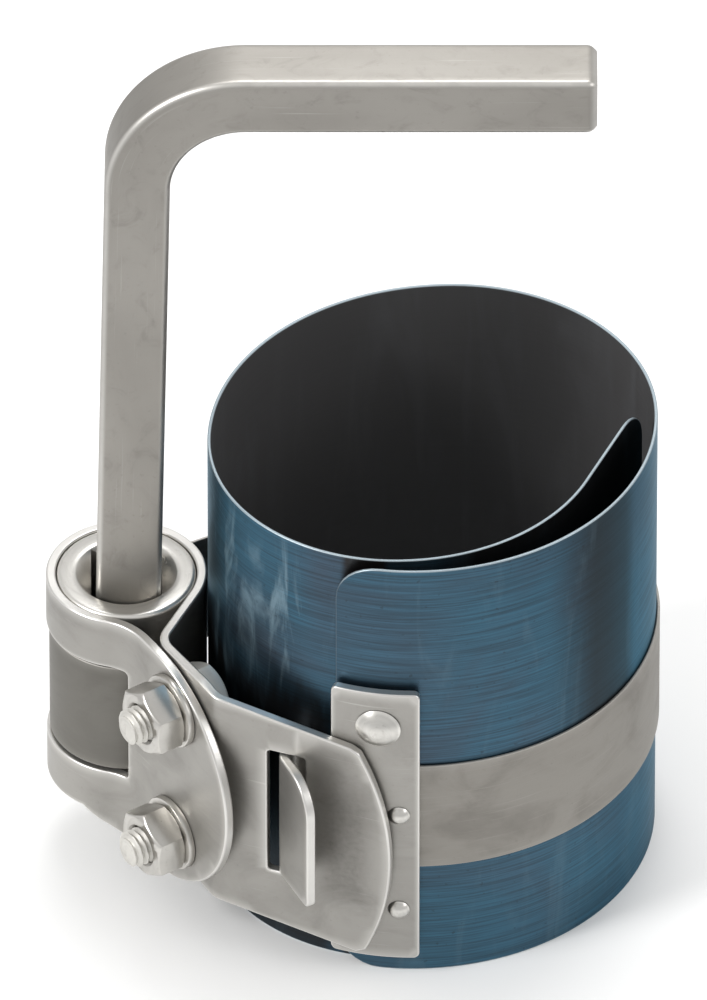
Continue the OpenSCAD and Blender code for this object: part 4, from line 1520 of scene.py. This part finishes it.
@dataclass
class Winder:
    """Spindle that the band winds onto, with its square socket, and the turns already wound on it."""

    layout: Layout
    finish: bpy.types.Material
    band_finish: bpy.types.Material
    socket_floor: float = 3.0
    key_gap: float = 0.45
    mouth_drop: float = 0.12
    cone_h: float = 2.0
    wound_t: float = 1.5
    wound_gap: float = 0.3
    feed_gap: float = 0.2
    flange_gap: float = 0.4
    rim_steps: tuple[tuple[float, float], ...] = ((0.8, 0.0), (0.35, 0.1), (0.1, 0.35), (0.0, 0.8))
    columns: int = 144
    turn_columns: int = 96
    turn_rows: int = 7
    turn_dip: float = 0.15

    @property
    def wound_r(self) -> float:
        """Outer radius of the wound turns."""
        return self.layout.flange_r - self.feed_gap

    @property
    def core_r(self) -> float:
        """Radius of the core that the band winds onto."""
        return self.wound_r - self.layout.band_t - self.wound_gap - self.wound_t

    def drum(self) -> None:
        """Flanges and core turned, then a cone that runs in to the square of the socket.

        The socket's wall lies at half its width over the larger of |cos| and |sin| of the angle, and the cone
        drops as much as it runs in from the mouth's circle through the square's corners.
        """
        k, flange, core = self.layout, self.layout.flange_r, self.core_r
        angle = round_angles(self.columns)
        half = k.key_w / 2.0 + self.key_gap
        mouth = half * math.sqrt(2.0)
        square = half / np.maximum(np.abs(np.cos(angle)), np.abs(np.sin(angle)))
        low, high = k.band_z - self.flange_gap, k.band_top + self.flange_gap
        mouth_z, floor_z = k.curl_top - self.mouth_drop, k.curl_z + self.socket_floor
        cone_z = mouth_z - np.minimum(self.cone_h, mouth - square)
        foot_rim = [(flange - a, k.curl_z + b, w) for (a, b), w in zip(self.rim_steps, (0.2, 0.7, 0.9, 0.4))]
        top_rim = [(flange - a, k.curl_top - b, w) for (a, b), w in zip(self.rim_steps[::-1], (0.4, 0.9, 0.9, 0.3))]
        rows = [(AXIS_R, k.curl_z, 0.0), *foot_rim, (flange, low, 0.2), (core, low, 0.0), (core, high, 0.0),
                (flange, high, 0.2), *top_rim, (mouth + 0.9, k.curl_top, 0.0), (mouth + 0.25, k.curl_top, 0.6),
                (mouth, mouth_z, 0.8), (square + 0.02, cone_z, 0.7), (square, cone_z - 0.15, 0.2),
                (square, floor_z, 0.0), (AXIS_R, floor_z, 0.0)]
        piece = turned_piece("spindle_drum", Axis.upright(k.spindle_at), rows, self.columns)
        piece.place(Body.WINDER, "bright_steel", self.finish, "spindle")

    def wound_turns(self) -> None:
        """The turns already on the core, as one ring with a groove between each two turns."""
        k = self.layout
        inner = self.core_r + 0.05
        turns = inner + (self.wound_r - inner) * np.linspace(0.0, 1.0, self.turn_rows)
        dip = np.where(np.arange(self.turn_rows) % 2 == 0, self.turn_dip, 0.0)
        foot = [(r, k.band_z + d, 0.3) for r, d in zip(turns, dip)]
        top = [(r, k.band_top - d, 0.3) for r, d in zip(turns[::-1], dip[::-1])]
        piece = turned_piece("wound_turns", Axis.upright(k.spindle_at), [*foot, *top, foot[0]], self.turn_columns)
        piece.place(Body.WINDER, "band_steel", self.band_finish, "wound_band")

    def build(self) -> None:
        """The drum and the turns on it."""
        self.drum()
        self.wound_turns()


@dataclass
class SquareKey:
    """Square bar bent to an L that leans in its loose socket, its edges softened and its ends turned off."""

    layout: Layout
    finish: bpy.types.Material
    floor: float = 15.85
    socket_lead: float = 2.0
    lean: float = 1.2
    top: float = 152.0
    reach: float = 72.0
    bend_r: float = 11.5
    lead: float = 1.5
    edge_r: float = 0.95
    loop_step: float = 0.8
    corner_wear: float = 1.1
    end_wear: float = 1.6
    end_rows: tuple[float, ...] = (0.0, 0.05, 0.15, 0.3, 0.5, 0.8, 1.1, 1.5)
    end_run: float = 2.0

    def section(self) -> tuple[np.ndarray, np.ndarray, np.ndarray]:
        """Rounded square as points, distance walked and wear, starting on a corner.

        Returns:
            Points (n, 2), walked lengths (n,) and wear (n,).
        """
        h = self.layout.key_w / 2.0
        loop = rounded_loop([(h, h), (-h, h), (-h, -h), (h, -h)], [self.edge_r] * 4, self.loop_step)
        walked = np.concatenate([[0.0], np.cumsum(np.linalg.norm(np.diff(loop, axis=0), axis=1))])
        from_corner = np.maximum(h - np.abs(loop[:, 0]), h - np.abs(loop[:, 1]))
        return loop, walked, np.clip(1.15 - from_corner / self.corner_wear, 0.0, 1.0)

    def build(self) -> None:
        """Carries the section along the leaning leg, the bend and the level arm.

        Near both ends the section shrinks: at a distance d from an end its scale is 1 - lead (1 - d / lead)^2
        over the bar's width, which turns the end off in a soft round. The ends are closed by flat faces.
        """
        k, lean = self.layout, math.radians(self.lean)
        mid_r = self.bend_r + k.key_w / 2.0
        foot = self.floor + k.key_w / 2.0 * math.sin(lean)
        pivot = (foot + k.curl_top - self.socket_lead) / 2.0
        bend_z = self.top - k.key_w / 2.0 - mid_r
        leg_top = bend_z + mid_r * math.sin(lean)
        bend_x = (leg_top - pivot) * math.tan(lean) + mid_r * math.cos(lean)
        leg, bend = (leg_top - foot) / math.cos(lean), mid_r * (math.pi / 2.0 - lean)
        total = leg + bend + self.reach - bend_x
        ends = np.array(self.end_rows)
        s = np.unique(np.concatenate([
            ends, np.linspace(self.end_run, leg, 40), np.linspace(leg, leg + bend, 40),
            np.linspace(leg + bend, total - self.end_run, 26), total - ends]))
        turn = lean + np.clip((s - leg) / mid_r, 0.0, math.pi / 2.0 - lean)
        run_up = np.minimum(s - leg, 0.0)
        x = bend_x - mid_r * np.cos(turn) + run_up * math.sin(lean) + np.maximum(0.0, s - leg - bend)
        z = bend_z + mid_r * np.sin(turn) + run_up * math.cos(lean)
        loop, walked, wear = self.section()
        from_end = np.minimum(s, total - s)
        scale = 1.0 - self.lead / k.key_w * np.clip(1.0 - from_end / self.lead, 0.0, 1.0) ** 2
        u, v = scale[:, None] * loop[None, :, 0], scale[:, None] * loop[None, :, 1]
        points = np.stack([k.spindle_at[0] + x[:, None] + u * np.cos(turn)[:, None],
                           k.spindle_at[1] + v, z[:, None] - u * np.sin(turn)[:, None]], -1)
        index = np.arange(u.size).reshape(u.shape)
        flat = np.stack(np.broadcast_arrays(s[:, None], walked[None], np.zeros(u.shape)), -1)
        worn = np.maximum(wear[None], np.clip(1.0 - from_end / self.end_wear, 0.0, 1.0)[:, None])
        piece = Piece("square_key_bar", points.reshape(-1, 3), [ring_quads(index), index[:1, ::-1], index[-1:]],
                      flat.reshape(-1, 3), worn.ravel(), np.ones(u.size))
        piece.place(Body.KEY, "key_steel", self.finish, "key")


@dataclass(frozen=True)
class Softbox:
    """Round area light: its name, place and width in metres, and power."""

    name: str
    place: Place
    size: float
    power: float


@dataclass
class Studio:
    """Camera at the photo's angle, pale floor and soft lights, in metres apart from the aim."""

    aim: Place = (-12.14, 0.0, 65.37)
    elevation: float = 40.0
    distance: float = 5.0
    field_height: float = 0.1536
    sensor: float = 36.0
    clip: tuple[float, float] = (0.05, 20.0)
    floor_rings: tuple[float, ...] = (0.001, 0.5, 2.0, 6.0)
    floor_columns: int = 48
    floor_z: float = -0.00005
    world_colour: Colour = (1.0, 1.0, 1.0)
    world_strength: float = 0.72
    lights: tuple[Softbox, ...] = (
        Softbox("key_softbox", (-0.80, -0.42, 0.70), 0.32, 7.0),
        Softbox("fill_softbox", (0.85, -0.35, 0.55), 0.50, 1.6),
        Softbox("top_softbox", (0.05, 0.45, 1.05), 0.60, 4.8))

    @staticmethod
    def hang(name: str, data: bpy.types.ID, place: Vector, view: Vector) -> bpy.types.Object:
        """Adds a camera or light that looks along a direction.

        Args:
            name: Its name.
            data: The camera or light.
            place: Where it hangs, in metres.
            view: Where it looks.

        Returns:
            The object.
        """
        made = add_object(name, data)
        made.location = place
        made.rotation_mode = "QUATERNION"
        made.rotation_quaternion = view.to_track_quat("-Z", "Y")
        return made

    def camera(self) -> None:
        """Places the camera: its lens makes the frame's height the field height at the aim's distance."""
        data = bpy.data.cameras.new("photo_camera")
        data.sensor_fit = "VERTICAL"
        data.sensor_height = self.sensor
        data.lens = self.sensor * self.distance / self.field_height
        data.clip_start, data.clip_end = self.clip
        a = math.radians(self.elevation)
        back = Vector((0.0, -math.cos(a), math.sin(a)))
        place = Vector(self.aim) * MM + back * self.distance
        bpy.context.scene.camera = self.hang("photo_camera", data, place, -back)

    def floor(self) -> None:
        """Lays the floor: a disc grid, level and slightly below the object's foot."""
        radius, angle = np.meshgrid(np.array(self.floor_rings), round_angles(self.floor_columns), indexing="ij")
        points = np.stack([radius * np.cos(angle), radius * np.sin(angle), np.full_like(radius, self.floor_z)], -1)
        index = np.arange(radius.size).reshape(radius.shape)
        quads = ring_quads(index, inward=True)
        mesh = bpy.data.meshes.new("studio_floor")
        mesh.from_pydata(points.reshape(-1, 3).tolist(), [], [*quads.tolist(), index[0].tolist()])
        mesh.materials.append(PaleFloor().build())
        add_object("studio_floor", mesh)

    def light(self) -> None:
        """Hangs the softboxes, each turned to the object, under a pale sky."""
        world = bpy.data.worlds.new("pale_sky")
        world.use_nodes = True
        background = world.node_tree.nodes["Background"]
        background.inputs["Color"].default_value = (*self.world_colour, 1.0)
        background.inputs["Strength"].default_value = self.world_strength
        bpy.context.scene.world = world
        for box in self.lights:
            data = bpy.data.lights.new(box.name, "AREA")
            data.shape, data.size, data.energy = "DISK", box.size, box.power
            self.hang(box.name, data, Vector(box.place), Vector(self.aim) * MM - Vector(box.place))

    def build(self) -> None:
        """Sets up camera, floor and lights."""
        bpy.context.scene.view_settings.view_transform = "Standard"
        self.camera()
        self.floor()
        self.light()


def dress_node(name: str, material: bpy.types.Material) -> None:
    """Gives a CAD node that stays as it is a finish.

    Args:
        name: The node.
        material: Its material.
    """
    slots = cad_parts[name].data.materials
    slots.clear()
    slots.append(material)
    LOG.info("%s: CAD node, dressed as %s", name, material.name)


def main() -> None:
    """Builds every sub-assembly in order, then the studio."""
    logging.basicConfig(level=logging.INFO, format="%(name)s %(message)s")
    layout = Layout()
    nickel = NickelSheet().build()
    bright = TurnedSteel("turned_bright_steel", base=(0.66, 0.645, 0.61), dull=(0.42, 0.405, 0.375),
                         ring_cells=1500.0, roughness=0.20).build()
    zinc = TurnedSteel("bright_zinc", base=(0.52, 0.505, 0.475), dull=(0.29, 0.28, 0.255),
                       ring_cells=900.0, roughness=0.20).build()
    bolt_zinc = TurnedSteel("dull_zinc", base=(0.66, 0.645, 0.605), dull=(0.38, 0.365, 0.335),
                            ring_cells=900.0, roughness=0.42, metallic=0.70).build()
    Sleeve(layout, BluedSpringSteel().build()).build()
    band = RolledSteel().build()
    TensionBand(layout, band).build()
    # painted shadow of the hook on the long plate, where its etched lettering also lies
    shadow_and_lettering_patch = Zone(132.5, 140.0, 2.5, 0.50, low=17.0, high=40.0, soft_z=5.0)
    StrapHousing(layout, NickelSheet(name="nickel_strap", hook_shadow_and_lettering=shadow_and_lettering_patch).build()).build()
    FootPlate(layout, nickel).build()
    Rivet(layout, bright, "top_rivet", angle=261.0, z=50.2, shank_d=3.0, head_d=7.0, head_h=1.5).build()
    Rivet(layout, bright, "band_rivet", angle=266.5, z=32.9).build()
    Rivet(layout, bright, "low_rivet", angle=266.5, z=13.9).build()
    for place, z in (("upper", 43.2), ("lower", 18.6)):
        ClampScrew(layout, zinc, bolt_zinc, place, z).build()
    Winder(layout, bright, band).build()
    SquareKey(layout, DrawnKeySteel().build()).build()
    dress_node("spindle_rivet", RolledSteel(name="hidden_rivet_steel", pattern=Pattern.OBJECT).build())
    Studio().build()


if __name__ == "__main__":
    main()
